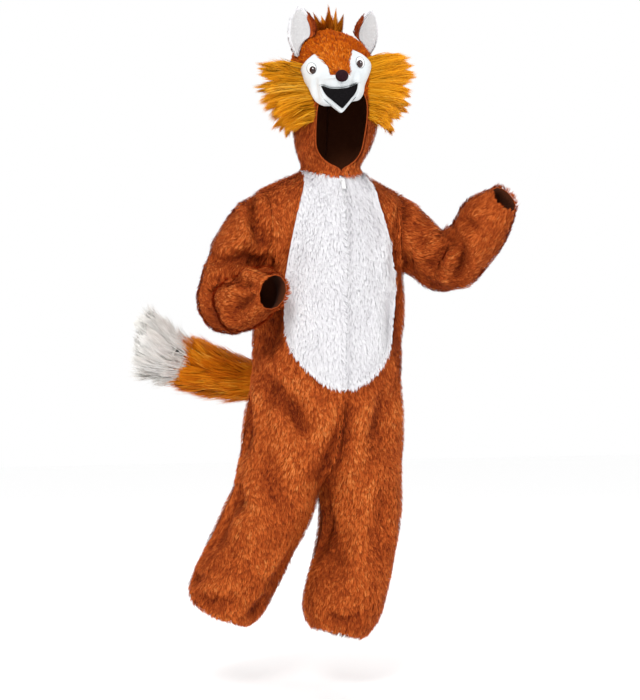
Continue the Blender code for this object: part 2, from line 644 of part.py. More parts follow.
# The fox's face, by height above the middle of the nose: half widths of each shape
CHEEK_OUTER = table(
    "rise half",
    (
        (-0.0620, 0.027), (-0.0576, 0.036), (-0.050, 0.046), (-0.040, 0.053), (-0.030, 0.057),
        (-0.0177, 0.061), (-0.010, 0.065), (0.002, 0.073), (0.012, 0.080), (0.023, 0.084),
        (0.036, 0.077), (0.046, 0.061), (0.053, 0.043),
    ),
)
BRIDGE_EDGE = table(
    "rise half",
    (
        (0.0045, 0.0135), (0.012, 0.0145), (0.020, 0.0165), (0.028, 0.021),
        (0.036, 0.0265), (0.046, 0.035), (0.053, 0.041), (0.062, 0.042),
    ),
)
JAW_EDGE = table(
    "rise half",
    (
        (-0.0759, 0.001), (-0.068, 0.010), (-0.058, 0.019), (-0.048, 0.027),
        (-0.038, 0.033), (-0.028, 0.036), (-0.0205, 0.0365),
    ),
)
MOUTH_EDGE = table(
    "rise half",
    (
        (-0.0686, 0.001), (-0.062, 0.0065), (-0.054, 0.013), (-0.046, 0.0195),
        (-0.036, 0.0265), (-0.028, 0.0305), (-0.0225, 0.0320),
    ),
)
CHEEK_ROWS = (0.053, 0.049, 0.043, 0.036, 0.028, 0.020, 0.012, 0.0045)
LIP_ROWS = (0.0040, -0.004, -0.012, -0.0198)
JOWL_ROWS = (-0.0208, -0.028, -0.037, -0.046, -0.054, -0.0595, -0.0620)
BRIDGE_ROWS = (0.062, 0.056, 0.049, 0.043, 0.036, 0.028, 0.020, 0.012, 0.0045)
JAW_ROWS = (-0.0208, -0.028, -0.037, -0.046, -0.054, -0.062, -0.070, -0.0759)
MOUTH_ROWS = (-0.0225, -0.030, -0.038, -0.046, -0.054, -0.062, -0.0686)
EYE = {"over": 0.0500, "rise": 0.0235, "half": 0.0105, "tall": 0.0120, "dome": 0.0045}
NOSE = {"over": 0.0, "rise": 0.0015, "half": 0.0130, "tall": 0.0112, "dome": 0.0110}


def hood_point(turn, height, out=0.0):
    """A point of the hood by its turn from the hood's middle and its height, moved outward."""
    row = read(HOOD, "height", height)
    above = read(HOOD, "height", height + np.array((-0.002, 0.002)))
    depth = "front" if math.cos(turn) > 0 else "back"
    x, y = float(row["width"]) * math.sin(turn), -float(row[depth]) * math.cos(turn)
    slope = (above["width"][1] - above["width"][0]) / 0.004
    normal = np.array((x / float(row["width"]) ** 2, y / float(row[depth]) ** 2, 0.0))
    normal = unit(normal)
    normal = unit(normal - np.array((0.0, 0.0, slope)))
    x, y, z = np.array((x, y, height)) + normal * out
    c, n = math.cos(HOOD_TURN), math.sin(HOOD_TURN)
    return np.array((x * c - y * n + float(row["x"]), x * n + y * c + float(row["y"]), z))


def face_point(over, rise, out):
    """A point over the hood by its place on the face. Over is toward the wearer's left."""
    c, n = math.cos(FACE_ROLL), math.sin(FACE_ROLL)
    along, up = over * c - rise * n, over * n + rise * c
    return hood_point(FACE_TURN + along / FACE_RADIUS, FACE_HEIGHT + up, out)


def face_relief(over, rise):
    """How far the padded face stands off the hood."""
    edge = float(curve(CHEEK_OUTER["rise"], CHEEK_OUTER["half"], rise))
    inside = min(1.0, max(0.0, (edge - abs(over)) / 0.026))
    cheek = 0.010 * (1 - (1 - inside) ** 2)
    muzzle = 0.036 * math.exp(-((over / 0.026) ** 2) - ((rise + 0.005) / 0.024) ** 2)
    jaw = 0.020 * math.exp(-((over / 0.024) ** 2) - ((rise + 0.046) / 0.022) ** 2)
    ridge = 0.010 * math.exp(-((over / 0.018) ** 2) - ((rise - 0.032) / 0.020) ** 2)
    return 0.0050 + cheek + muzzle + jaw + ridge


def pad(name, grids, colour, relief, base, flip=False, seam=SEAM):
    """A stuffed piece from grids of places on the face, between its relief and its base."""
    outer = [np.array([[face_point(a, b, relief(a, b)) for a, b in row] for row in grid]) for grid in grids]
    inner = {}
    for grid, tops in zip(grids, outer):
        for row, points in zip(grid, tops):
            for (a, b), top in zip(row, points):
                inner[tuple(np.round(top * 1e6).astype(int))] = face_point(a, b, base(a, b))
    add_surface(name, outer, flip=flip)
    solid = make_walls([name], {name: (0.0, 0.003)}, seam)[name]
    points, faces = solid
    tops = surfaces[name][0]
    count = len(tops)
    points = points.copy()
    for n, top in enumerate(tops):
        under = inner[tuple(np.round(top * 1e6).astype(int))]
        points[n + count] = under + (points[n] - top)
    return make_object(name, points, faces, colour)


def across(rise, inner, outer, columns, side):
    """Places of one row, from its inner to its outer half width. The lip sags a little in the middle."""
    places = []
    for over in np.linspace(inner, outer, columns + 1):
        sag = 0.006 * max(0.0, 1 - (over / 0.034) ** 2) * math.exp(-(((rise + 0.021) / 0.010) ** 2))
        places.append((side * over, rise - sag))
    return places


def half_at(edge, rise):
    """A shape's half width at a height."""
    return float(curve(edge["rise"], edge["half"], rise))


def flat_base(over, rise):
    """The underside of a piece that lies on the cloth."""
    return ON_CLOTH


LIP_END = 0.0365


def cheek_split(rise):
    """Where the outer part of a cheek begins at a height."""
    low, high = half_at(BRIDGE_EDGE, rise), half_at(CHEEK_OUTER, rise)
    return max(LIP_END, low + 0.35 * (high - low)) if rise > 0.030 else LIP_END


for side, word in ((1, "left"), (-1, "right")):
    upper = CHEEK_ROWS + LIP_ROWS
    outer_part = [across(b, cheek_split(b), half_at(CHEEK_OUTER, b), 3, side) for b in upper]
    outer_part += [across(b, half_at(JAW_EDGE, b), half_at(CHEEK_OUTER, b), 3, side) for b in JOWL_ROWS]
    inner_part = []
    for b in upper:
        inner_part.append(across(b, half_at(BRIDGE_EDGE, b) if b > 0.0042 else 0.0, cheek_split(b), 3, side))
    pad("mask_" + word, [outer_part, inner_part], "mask", face_relief, flat_base, flip=side < 0)
bridge_rows = [across(b, -half_at(BRIDGE_EDGE, b), half_at(BRIDGE_EDGE, b), 6, 1) for b in BRIDGE_ROWS]
pad("bridge", [bridge_rows], "bridge", face_relief, flat_base)
jaw_rows = [across(b, -half_at(JAW_EDGE, b), half_at(JAW_EDGE, b), 6, 1) for b in JAW_ROWS]
pad("jaw", [jaw_rows], "jaw", face_relief, flat_base)
mouth_rows = [across(b, -half_at(MOUTH_EDGE, b), half_at(MOUTH_EDGE, b), 4, 1) for b in MOUTH_ROWS]


def mouth_top(over, rise):
    """The felt's outer side, a little out from the padded jaw."""
    return face_relief(over, rise) + 0.0042


def mouth_base(over, rise):
    """The felt's underside, clear of the jaw."""
    return face_relief(over, rise) + 0.0022


pad("mouth", [mouth_rows], "mouth", mouth_top, mouth_base)


def dome_grid(shape, side):
    """Places of a round piece in rings about its middle, so that its rows run inward."""
    grid = []
    for ring in (1.0, 0.85, 0.5, 0.0):
        row = []
        for k in range(11):
            angle = 2 * math.pi * (k % 10) / 10
            over = side * shape["over"] + ring * shape["half"] * math.cos(angle)
            row.append((over, shape["rise"] + ring * shape["tall"] * math.sin(angle)))
        grid.append(row)
    return grid


def dome_relief(shape, side, stand):
    """The relief of a dome standing on the face."""
    def relief(a, b):
        sideways = (a - side * shape["over"]) / shape["half"]
        off = sideways**2 + ((b - shape["rise"]) / shape["tall"]) ** 2
        return face_relief(a, b) + stand + 0.0015 + shape["dome"] * math.sqrt(max(0.0, 1 - off))
    return relief


def stand_base(over, rise):
    """The underside of a piece that stands on the padded face."""
    return face_relief(over, rise) + 0.0009


for side, word in ((1, "left"), (-1, "right")):
    pad("eye_" + word, [dome_grid(EYE, side)], "eye", dome_relief(EYE, side, 0.0009), stand_base, flip=True)
pad("nose", [dome_grid(NOSE, 1)], "nose", dome_relief(NOSE, 1, 0.0009), stand_base, flip=True)


def solid_grid(name, grid, colour, start=None):
    """A closed solid from rings of points, its first and last ring filled."""
    grid = np.array(grid)
    rings, count = grid.shape[:2]
    first = grid[0].mean(axis=0) if start is None else start
    points = list(grid.reshape(-1, 3)) + [first, grid[-1].mean(axis=0)]
    faces = []
    for i in range(rings - 1):
        for j in range(count):
            k = (j + 1) % count
            faces.append((i * count + j, i * count + k, (i + 1) * count + k, (i + 1) * count + j))
    for j in range(count):
        k = (j + 1) % count
        faces.append((rings * count, k, j))
        faces.append((rings * count + 1, (rings - 1) * count + j, (rings - 1) * count + k))
    return make_object(name, points, faces, colour)


def cloth_tree():
    """The surface of the hood, the backs and the belly, to seat what stands on them."""
    points, faces = [], []
    for name in ("hood_left", "hood_right", "back_left", "back_right", "belly_left", "belly_right"):
        base = len(points)
        points += [Vector(p) for p in walls[name][0]]
        faces += [tuple(v + base for v in face) for face in walls[name][1]]
    return BVHTree.FromPolygons(points, faces)


CLOTH = cloth_tree()


def seat(point, direction, out):
    """Where a line through a point meets the cloth, a little before it."""
    direction = unit(np.array(direction, float))
    start = np.array(point) - direction * 0.08
    hit = CLOTH.ray_cast(Vector(start), Vector(direction))
    return start + direction * (hit[3] - out) if hit[0] is not None else np.array(point)


# The ears: each stands on the hood, a cupped leaf of plush with a white lining
EAR_LENGTH = 0.086
EAR_WALL = 0.0045
EAR = table(
    "along half cup",
    (
        (0.00, 0.0185, 0.006), (0.22, 0.0265, 0.010), (0.45, 0.0285, 0.011), (0.65, 0.0240, 0.008),
        (0.82, 0.0160, 0.005), (0.94, 0.0080, 0.002), (1.00, 0.0025, 0.000),
    ),
)
EAR_STEPS = (0.0, 0.18, 0.38, 0.58, 0.76, 0.90, 1.0)
EAR_COLUMNS = (1.0, 0.6, 0.2, -0.2, -0.6, -1.0)
LINING_COLUMNS = (0.6, 0.2, -0.2, -0.6, -0.92)
EARS = (
    # side, foot, way up, way across toward the face's middle
    (1, (0.064, -0.016, 0.247), (0.15, -0.05, 1.0), (-0.93, -0.36, 0.0)),
    (-1, (-0.064, -0.036, 0.243), (-0.20, -0.05, 1.0), (0.98, -0.16, 0.0)),
)


def ear_surface(foot, up, inner, stand, columns, steps):
    """Rows of an ear's front from its foot on the hood to its tip, and the way that the ear points."""
    up = unit(np.array(up))
    inner = unit(np.array(inner) - up * (np.array(inner) @ up))
    out = unit(np.cross(up, inner))
    out = out if out[1] < 0 else -out

    def leaf(along, share):
        here = read(EAR, "along", along)
        middle = np.array(foot) + up * along * EAR_LENGTH + inner * share * float(here["half"])
        return middle + out * (float(here["cup"]) * (share * share - 0.5) + stand + 0.010 * along * along)

    rest = stand * out
    feet = [seat(leaf(0.0, share) - rest, -up, 0.0013) + rest - leaf(0.0, share) for share in columns]
    rows = []
    for t in steps:
        rows.append([leaf(t, share) + shift * (1 - t) ** 2 for share, shift in zip(columns, feet)])
    return np.array(rows), up


for side, foot, up, inner in EARS:
    word = "left" if side > 0 else "right"
    for name, stand, columns, wall, steps in (
        ("ear_" + word, 0.0, EAR_COLUMNS, EAR_WALL, EAR_STEPS),
        ("ear_lining_" + word, 0.0034, LINING_COLUMNS, 0.0017, (0.02,) + EAR_STEPS[1:-1] + (0.955,)),
    ):
        rows, leaning = ear_surface(foot, up, inner, stand, columns, steps)
        add_surface(name, [rows], flip=side > 0)
        points, faces = make_walls([name], {name: (0.0, wall)}, 0.0)[name]
        points = points.copy()
        count = len(surfaces[name][0])
        for n, place in enumerate(surfaces[name][0]):
            if np.min(np.linalg.norm(rows[0] - place, axis=1)) < 1e-6:
                lifted = seat(points[n + count], -leaning, 0.0016)
                points[n + count] = lifted if lifted[2] > points[n + count][2] else points[n + count]
        make_object(name, points, faces, "lining" if "lining" in name else "ear")


def furred(name, grid, tips, colour, wall, narrow=0.98, blunt=0.12, flip=False, bend=0.35):
    """A backing laid on the hood with a lock of fur drawn out of each of its faces to its tip."""
    add_surface(name, [np.array(grid)], flip=flip)
    points, faces = make_walls([name], {name: (0.0, wall)}, 0.0)[name]
    points, solid = list(points), []
    count = len(surfaces[name][1])
    for number, face in enumerate(faces):
        if number >= count:
            solid.append(face)
            continue
        root = np.array([points[v] for v in face])
        middle, tip = root.mean(axis=0), np.array(tips[number])
        way = unit(tip - middle)
        reach = np.linalg.norm(tip - middle)
        spread = root - middle
        flat = spread - (spread @ way)[:, None] * way
        normal = unit(np.cross(root[2] - root[0], root[3] - root[1]))
        knee = middle + (normal * bend + way * (1 - bend)) * reach * 0.30
        rings = [list(face)]
        for centre, scale in ((knee, narrow), (knee * 0.45 + tip * 0.55, narrow * 0.90), (tip, blunt)):
            shape = spread * (1 - scale) * 0.5 + flat * 0.5 if scale == narrow else flat
            rings.append([len(points) + n for n in range(len(face))])
            points += [centre + offset * scale for offset in shape]
        for low, high in zip(rings, rings[1:]):
            for n in range(len(face)):
                m = (n + 1) % len(face)
                solid.append((low[n], low[m], high[m], high[n]))
        solid.append(tuple(rings[-1]))
    return make_object(name, points, solid, colour)


def seen(over, height, depth):
    """A place from how far it shows across and up in the front view, in centimetres, and its depth."""
    return np.array(((over + 0.292 * depth * 100) / 95.6, depth, height / 100))


# The cheek ruffs: long fur combed out from the sides of the face
RUFF_ROWS = 6
RUFF_COLUMNS = 4
RUFFS = {
    # side: turns where it starts at top and bottom, turn where it ends, top, bottom, longest tips
    -1: (
        -1.08, -0.72, -1.50, 0.212, 0.094,
        ((-15.2, 21.0), (-15.4, 17.4), (-15.3, 13.8), (-13.6, 10.6), (-11.8, 8.4), (-9.6, 7.2)),
    ),
    1: (
        0.92, 0.70, 1.42, 0.230, 0.102,
        ((15.8, 24.2), (18.0, 21.8), (17.9, 18.4), (17.0, 15.0), (15.2, 12.4), (13.4, 8.4)),
    ),
}
for side, (start_top, start_low, end, top, bottom, ends) in RUFFS.items():
    word = "left" if side > 0 else "right"
    grid = []
    for share in np.linspace(0.0, 1.0, RUFF_ROWS + 1):
        start = start_top + (start_low - start_top) * share
        height = top + (bottom - top) * share
        turns = np.linspace(start, end, RUFF_COLUMNS + 1)
        grid.append([hood_point(turn, height, ON_CLOTH + 0.0040) for turn in turns])
    tips = []
    for row, (over, height) in enumerate(ends):
        for column in range(RUFF_COLUMNS):
            share = column / (RUFF_COLUMNS - 1)
            far = seen(over, height, -0.090 + 0.120 * share)
            near = (np.array(grid[row][column]) + np.array(grid[row + 1][column + 1])) / 2
            tips.append(near + (far - near) * (0.80 + 0.20 * share))
    furred("ruff_" + word, grid, tips, "ruff", 0.0034, flip=side < 0)

# The tuft on the crown
TUFT_TIPS = (
    (-3.7, 32.8, -0.02), (0.2, 33.6, -0.045), (2.9, 33.0, -0.01),
    (-0.8, 35.2, 0.00), (1.2, 34.6, 0.01), (3.4, 32.0, 0.02),
)
crown = [[(x, y) for x in (-0.026, -0.006, 0.014, 0.032)] for y in (-0.018, 0.004, 0.026)]
grid = [[seat((x, y, 0.33), (0, 0, -1), 0.0050) for x, y in row] for row in crown]
tips = [seen(over, height, depth) for over, height, depth in TUFT_TIPS]
furred("tuft", grid, tips, "tuft", 0.0030, flip=True, bend=0.6)

# The tail: stuffed, long-haired, in two parts sewn together
TAIL = table(
    "step x y z radius",
    (
        (0.0, 0.000, 0.126, -0.440, 0.031),
        (1.0, -0.040, 0.158, -0.443, 0.034),
        (2.0, -0.092, 0.183, -0.440, 0.040),
        (3.0, -0.150, 0.202, -0.430, 0.047),
        (4.0, -0.206, 0.215, -0.415, 0.054),
        (5.0, -0.258, 0.222, -0.396, 0.062),
        (5.5, -0.284, 0.224, -0.386, 0.066),
        (6.0, -0.308, 0.225, -0.376, 0.069),
        (7.0, -0.345, 0.224, -0.360, 0.068),
        (7.6, -0.364, 0.222, -0.352, 0.052),
        (8.0, -0.374, 0.220, -0.348, 0.022),
    ),
)
TAIL_SIDES = 14
TAIL_JOIN = 5.4


def tail_ring(step, back=0.0):
    """A ring of the tail, its locks standing out and pointing back by the given length."""
    here = read(TAIL, "step", step)
    near = read(TAIL, "step", np.clip(step + np.array((-0.4, 0.4)), 0.0, 8.0))
    ahead = unit(np.array([np.diff(near[n])[0] for n in "xyz"]))
    up = unit(np.array((0.0, 0.0, 1.0)) - ahead[2] * ahead)
    over = np.cross(ahead, up)
    centre = np.array([float(here[n]) for n in "xyz"])
    ring = []
    for n in range(TAIL_SIDES):
        angle = 2 * math.pi * n / TAIL_SIDES
        lock = 1.0 if (n + int(round(step * 2))) % 2 else 0.90
        outward = up * math.cos(angle) + over * math.sin(angle)
        ring.append(centre + outward * float(here["radius"]) * lock + ahead * back)
    return ring


root = []
for n in range(TAIL_SIDES):
    angle = 2 * math.pi * n / TAIL_SIDES
    place = (0.028 * math.sin(angle), 0.20, -0.440 + 0.030 * math.cos(angle))
    root.append(seat(place, (0, -1, 0), 0.0014))
rings = [root] + [tail_ring(step) for step in (0.7, 1.5, 2.2, 3.0, 3.7, 4.4, 5.0)]
rings.append(tail_ring(TAIL_JOIN, -0.0002))
solid_grid("tail", rings, "tail", start=seat((0.0, 0.20, -0.440), (0, -1, 0), 0.0018))
rings = [tail_ring(TAIL_JOIN, 0.0002)] + [tail_ring(step) for step in (5.8, 6.3, 6.8, 7.2, 7.6, 7.9)]
solid_grid("tail_tip", rings, "tip")


def hard_box(name, size, place, bevel, collection=costume):
    """A box with softened edges, in the slider's own frame."""
    bpy.ops.mesh.primitive_cube_add(size=1.0, location=place)
    thing = bpy.context.object
    thing.name = name
    thing.scale = size
    bpy.ops.object.transform_apply(location=True, rotation=False, scale=True)
    if bevel:
        soften = thing.modifiers.new("soft edges", "BEVEL")
        soften.width = bevel
        soften.segments = 1
        bpy.ops.object.modifier_apply(modifier="soft edges")
    for holder in thing.users_collection:
        holder.objects.unlink(thing)
    collection.objects.link(thing)
    return thing


def hard_pin(name, radius, length, place, sides=16, collection=costume):
    """A round pin lying across the zip."""
    bpy.ops.mesh.primitive_cylinder_add(vertices=sides, radius=radius, depth=length, location=place)
    thing = bpy.context.object
    thing.name = name
    thing.rotation_euler = (0.0, math.pi / 2, 0.0)
    bpy.ops.object.transform_apply(location=True, rotation=True, scale=True)
    for holder in thing.users_collection:
        holder.objects.unlink(thing)
    collection.objects.link(thing)
    return thing


def joined(base, other, kind):
    """Apply a Boolean of one object to another, and keep the other only as a hidden cutter."""
    change = base.modifiers.new("join", "BOOLEAN")
    change.operation = kind
    change.solver = "EXACT"
    change.object = other
    bpy.context.view_layer.objects.active = base
    bpy.ops.object.modifier_apply(modifier="join")
    for holder in other.users_collection:
        holder.objects.unlink(other)
    cutters.objects.link(other)
    other.hide_render = True
    other.display_type = "WIRE"


# The zip's slider and its pull tab, both white plastic. The tab turns on the pin between the slider's lugs.
SLIDER = (0.0090, 0.0034, 0.0110)
SLIDER_HEIGHT = -0.0260
SLIDER_STAND = 0.0022
LUG = (0.0012, 0.0050, 0.0036)
LUG_OVER = 0.0032
PIN_RADIUS = 0.0007
HOLE_RADIUS = 0.00078
PIN_OUT = 0.0066
TAB = (0.0078, 0.0016, 0.0160)
TAB_NECK = (0.0040, 0.0034, 0.0072)
TAB_NECK_TOP = 0.0019

slider = hard_box("zip_slider", SLIDER, (0.0, -SLIDER[1] / 2, 0.0), 0.0006)
for lug_side in (-1, 1):
    lug_name = "lug_right" if lug_side < 0 else "lug_left"
    lug = hard_box(lug_name, LUG, (lug_side * LUG_OVER, -0.0052, 0.0), 0.0)
    joined(slider, lug, "UNION")
pin = hard_pin("pin", PIN_RADIUS, 0.0070, (0.0, -PIN_OUT, 0.0))
joined(slider, pin, "UNION")
tab = hard_box("zip_pull", TAB, (0.0, -PIN_OUT, -0.0038 - TAB[2] / 2), 0.0)
neck = hard_box("tab_neck", TAB_NECK, (0.0, -PIN_OUT, TAB_NECK_TOP - TAB_NECK[2] / 2), 0.0)
joined(tab, neck, "UNION")
hole = hard_pin("tab_hole", HOLE_RADIUS, 0.0200, (0.0, -PIN_OUT, 0.0))
joined(tab, hole, "DIFFERENCE")
front_of = [seat((SLIDER[0] / 2, -0.15, SLIDER_HEIGHT + dz), (0, 1, 0), 0.0) for dz in (-0.006, 0.006)]
slope = math.atan2(front_of[1][1] - front_of[0][1], front_of[1][2] - front_of[0][2])
stand_off = np.array((0.0, -math.cos(slope), -math.sin(slope))) * SLIDER_STAND
seat_at = (front_of[0] + front_of[1]) / 2 * np.array((0, 1, 1)) + stand_off
frame = Matrix.Translation(Vector(seat_at)) @ Matrix.Rotation(-slope, 4, "X")
for thing in (slider, tab):
    thing.data.transform(frame)
    material = bpy.data.materials.new(thing.name)
    material.use_nodes = True
    surface = material.node_tree.nodes["Principled BSDF"]
    surface.inputs["Base Color"].default_value = (0.86, 0.86, 0.85, 1.0)
    surface.inputs["Roughness"].default_value = 0.35
    thing.data.materials.clear()
    thing.data.materials.append(material)
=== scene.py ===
"""A child's fox costume, worn shape, with no wearer: a brown plush all-in-one with a white belly, a hood with
a fox's head on it, golden ruffs and a bushy tail. Lengths are in metres."""

import math

import bmesh
import bpy
import numpy as np
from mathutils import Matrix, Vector
from mathutils.bvhtree import BVHTree
from mathutils.kdtree import KDTree


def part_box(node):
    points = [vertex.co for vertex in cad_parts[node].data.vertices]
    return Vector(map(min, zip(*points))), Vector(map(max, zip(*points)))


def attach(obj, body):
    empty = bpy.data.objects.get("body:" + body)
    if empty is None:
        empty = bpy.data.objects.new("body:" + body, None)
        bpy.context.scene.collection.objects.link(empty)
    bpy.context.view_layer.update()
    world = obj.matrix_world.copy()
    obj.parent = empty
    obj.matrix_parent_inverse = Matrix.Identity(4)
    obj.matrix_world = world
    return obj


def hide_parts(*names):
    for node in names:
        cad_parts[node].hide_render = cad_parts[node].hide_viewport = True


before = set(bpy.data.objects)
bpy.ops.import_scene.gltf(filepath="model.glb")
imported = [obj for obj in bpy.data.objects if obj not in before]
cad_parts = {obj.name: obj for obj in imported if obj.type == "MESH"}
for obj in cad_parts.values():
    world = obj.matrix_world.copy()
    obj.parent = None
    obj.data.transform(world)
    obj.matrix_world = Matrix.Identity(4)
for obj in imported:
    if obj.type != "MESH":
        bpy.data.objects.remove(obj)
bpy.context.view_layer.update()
bpy.ops.object.select_all(action="DESELECT")

# The picture's own view: the costume is seen a little from its right, from 3.6 m.
# Creases that show from the front are laid out in this view, and the camera at the end uses it too.
VIEW_DISTANCE = 3.6
VIEW_TURN = -17.0
VIEW_MIDDLE = np.array((0.0, 0.0, -0.370))
VIEW_ASIDE = -0.0208
VIEW_HEIGHT = 1.456


def view_axes(turn):
    """Forward and rightward directions of someone who looks at the costume from this turn round it."""
    a = math.radians(turn)
    return np.array((-math.sin(a), math.cos(a), 0.0)), np.array((math.cos(a), math.sin(a), 0.0))


def laid_out(points, turn):
    """Where points appear from that side: metres across and up, on the plane through the body's middle."""
    forward, right = view_axes(turn)
    eye = VIEW_MIDDLE - forward * VIEW_DISTANCE + right * VIEW_ASIDE
    from_eye = points - eye
    near = VIEW_DISTANCE / (from_eye @ forward)
    return (from_eye @ right) * near + VIEW_ASIDE, from_eye[:, 2] * near + VIEW_MIDDLE[2]


# The plush panels: brown for the fronts, backs, sleeves and hood, white for the belly. Each is knitted plush,
# cut to shape and sewn face to face, so its edge dips into the seam. The pile is grown on it further down.
CLOTH_THICK = 0.0016
CLOTH_UNDER_PILE = 0.0042
SEAM_WIDE = 0.007
RIM_ANGLE = math.radians(52)


def table(names, *rows):
    """Rows of values, each value with its name."""
    return [dict(zip(names.split(), row)) for row in rows]


# A crease runs from its start past its middle to its end, in millimetres across and up as seen from that turn
CREASES = table(
    "turn x0 z0 x1 z1 x2 z2 wide deep",
    (-17, -250, -172, -200, -181, -150, -166, 11, 11),
    (-17, -262, -252, -248, -237, -229, -220, 10, 7),
    (-17, -166, -226, -181, -233, -198, -236, 8, 6),
    (-17, -164, -250, -191, -275, -218, -308, 12, 9),
    (-17, -166, -36, -158, -95, -129, -158, 9, 14),
    (-17, -140, -60, -132, -104, -118, -140, 7, 6),
    (-17, -160, -183, -139, -190, -112, -179, 13, 13),
    (-17, -240, -200, -215, -214, -182, -212, 12, 6),
    (-17, 146, -37, 154, -75, 146, -131, 9, 7),
    (-17, 146, -131, 141, -168, 152, -206, 11, 10),
    (-17, 232, -120, 225, -171, 198, -214, 11, 11),
    (-17, 246, -126, 250, -148, 248, -168, 8, 9),
    (-17, 256, -120, 272, -187, 239, -231, 11, 11),
    (-17, 270, -96, 289, -112, 310, -125, 9, 6),
    (-17, 176, -100, 190, -150, 178, -196, 14, 6),
    (-17, -152, -408, -83, -483, -54, -548, 14, 11),
    (-17, -139, -437, -127, -466, -117, -495, 9, 7),
    (-17, 48, -460, 21, -557, -21, -650, 16, 10),
    (-17, 112, -450, 106, -505, 92, -560, 13, 8),
    (-17, -195, -645, -185, -678, -181, -712, 9, 7),
    (-17, -62, -763, -83, -811, -119, -869, 11, 9),
    (-17, -119, -869, -139, -899, -172, -930, 10, 8),
    (-17, -285, -872, -237, -892, -185, -884, 11, 7),
    (-17, -10, -913, 25, -932, 66, -922, 11, 7),
    (-17, -297, -820, -284, -836, -266, -851, 9, 7),
    (-17, -150, -560, -120, -640, -110, -720, 18, 6),
    (-17, -20, -690, 10, -760, 6, -850, 16, 6),
    (-17, 130, -640, 105, -730, 108, -800, 14, 6),
    (-17, -124, -230, -118, -310, -138, -380, 14, 6),
    (-17, 118, -240, 134, -320, 140, -390, 13, 6),
    (180, -120, -110, -60, -150, 20, -160, 18, 6),
    (180, -150, -330, -80, -372, 10, -360, 17, 8),
    (180, 30, -352, 90, -390, 150, -380, 15, 7),
    (180, -100, -470, -55, -540, 10, -590, 17, 9),
    (180, 120, -455, 70, -530, 14, -600, 16, 9),
    (180, -60, -640, -85, -720, -70, -800, 15, 7),
    (180, 100, -660, 140, -730, 130, -820, 15, 7),
    (180, 190, -830, 220, -860, 260, -872, 11, 7),
    (180, -40, -890, 0, -906, 44, -896, 11, 7),
    (180, -200, -70, -186, -120, -150, -160, 13, 9),
    (180, 150, -60, 172, -120, 158, -180, 13, 9),
    (180, 222, -130, 236, -170, 262, -190, 12, 9),
    (180, 190, -225, 230, -260, 260, -258, 12, 9),
    (180, -262, -118, -244, -160, -212, -186, 12, 9),
    (90, -30, -420, -8, -500, 20, -580, 15, 8),
    (90, 34, -630, 14, -700, 20, -790, 15, 8),
    (90, -40, -200, -62, -290, -40, -370, 15, 7),
    (-90, -20, -430, 10, -520, 2, -600, 15, 8),
    (-90, 40, -650, 18, -720, 30, -800, 15, 8),
    (-90, 46, -210, 60, -300, 40, -380, 15, 7),
    (-17, -23, 196, -21, 166, -9, 137, 4, 2.2),
    (-17, 56, 208, 56, 179, 46, 146, 4, 2.2),
)


def creased(points, normals):
    """How far the creases move each point along its normal: a soft trough with a low ridge on each side."""
    moved = np.zeros(len(points))
    for crease in CREASES:
        across, up = laid_out(points, crease["turn"])
        facing = np.clip(-(normals @ view_axes(crease["turn"])[0]) * 2.2, 0.0, 1.0)
        t = np.linspace(0.0, 1.0, 13)
        start, middle, end = (np.array((crease["x" + k], crease["z" + k])) * 0.001 for k in "012")
        line = np.outer((1 - t) ** 2, start) + np.outer(2 * t * (1 - t), 2 * middle - (start + end) / 2)
        line += np.outer(t**2, end)
        near = np.full(len(points), 1.0)
        along = np.zeros(len(points))
        spot = np.stack((across, up), axis=1)
        for k in range(12):
            step = line[k + 1] - line[k]
            share = np.clip(((spot - line[k]) @ step) / (step @ step), 0.0, 1.0)
            gap = np.linalg.norm(spot - line[k] - share[:, None] * step, axis=1)
            closer = gap < near
            near = np.where(closer, gap, near)
            along = np.where(closer, (k + share) / 12, along)
        wide = crease["wide"] * 0.00125 * (0.75 + 0.5 * along)
        fade = np.clip(np.sin(np.clip(along, 0.0, 1.0) * math.pi), 0.0, 1.0) ** 0.5
        trough = np.exp(-((near / wide) ** 2))
        ridge = 0.42 * np.exp(-(((near / wide - 2.1) / 0.8) ** 2))
        moved -= crease["deep"] * 0.0017 * (trough - ridge) * fade * facing
    return moved


def welded(node):
    """The solid's shape, welded so that its sides join."""
    shape = bmesh.new()
    shape.from_mesh(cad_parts[node].data)
    bmesh.ops.remove_doubles(shape, verts=shape.verts, dist=1e-5)
    shape.normal_update()
    return shape


def as_quads(shape, name, angle):
    """The shape as a mesh, its triangles joined in pairs where they meet at less than this angle."""
    bmesh.ops.join_triangles(
        shape, faces=shape.faces[:], angle_face_threshold=angle, angle_shape_threshold=math.pi
    )
    mesh = bpy.data.meshes.new(name)
    shape.to_mesh(mesh)
    shape.free()
    return mesh


def face_side(node):
    """The panel's outer side as a mesh of quads, lifted off its solid without the back and the rim."""
    shape = welded(node)
    left = set(shape.faces)
    sides = []
    while left:
        todo = [left.pop()]
        side = list(todo)
        while todo:
            for edge in todo.pop().edges:
                if len(edge.link_faces) == 2 and edge.calc_face_angle(0.0) < RIM_ANGLE:
                    for other in edge.link_faces:
                        if other in left:
                            left.discard(other)
                            todo.append(other)
                            side.append(other)
        sides.append(side)
    outer = set(max(sides, key=lambda side: sum(f.calc_area() for f in side)))
    bmesh.ops.delete(shape, geom=[f for f in shape.faces if f not in outer], context="FACES")
    return as_quads(shape, node + "_face", math.pi)


def as_object(name, mesh):
    thing = bpy.data.objects.new(name, mesh)
    bpy.context.scene.collection.objects.link(thing)
    return thing


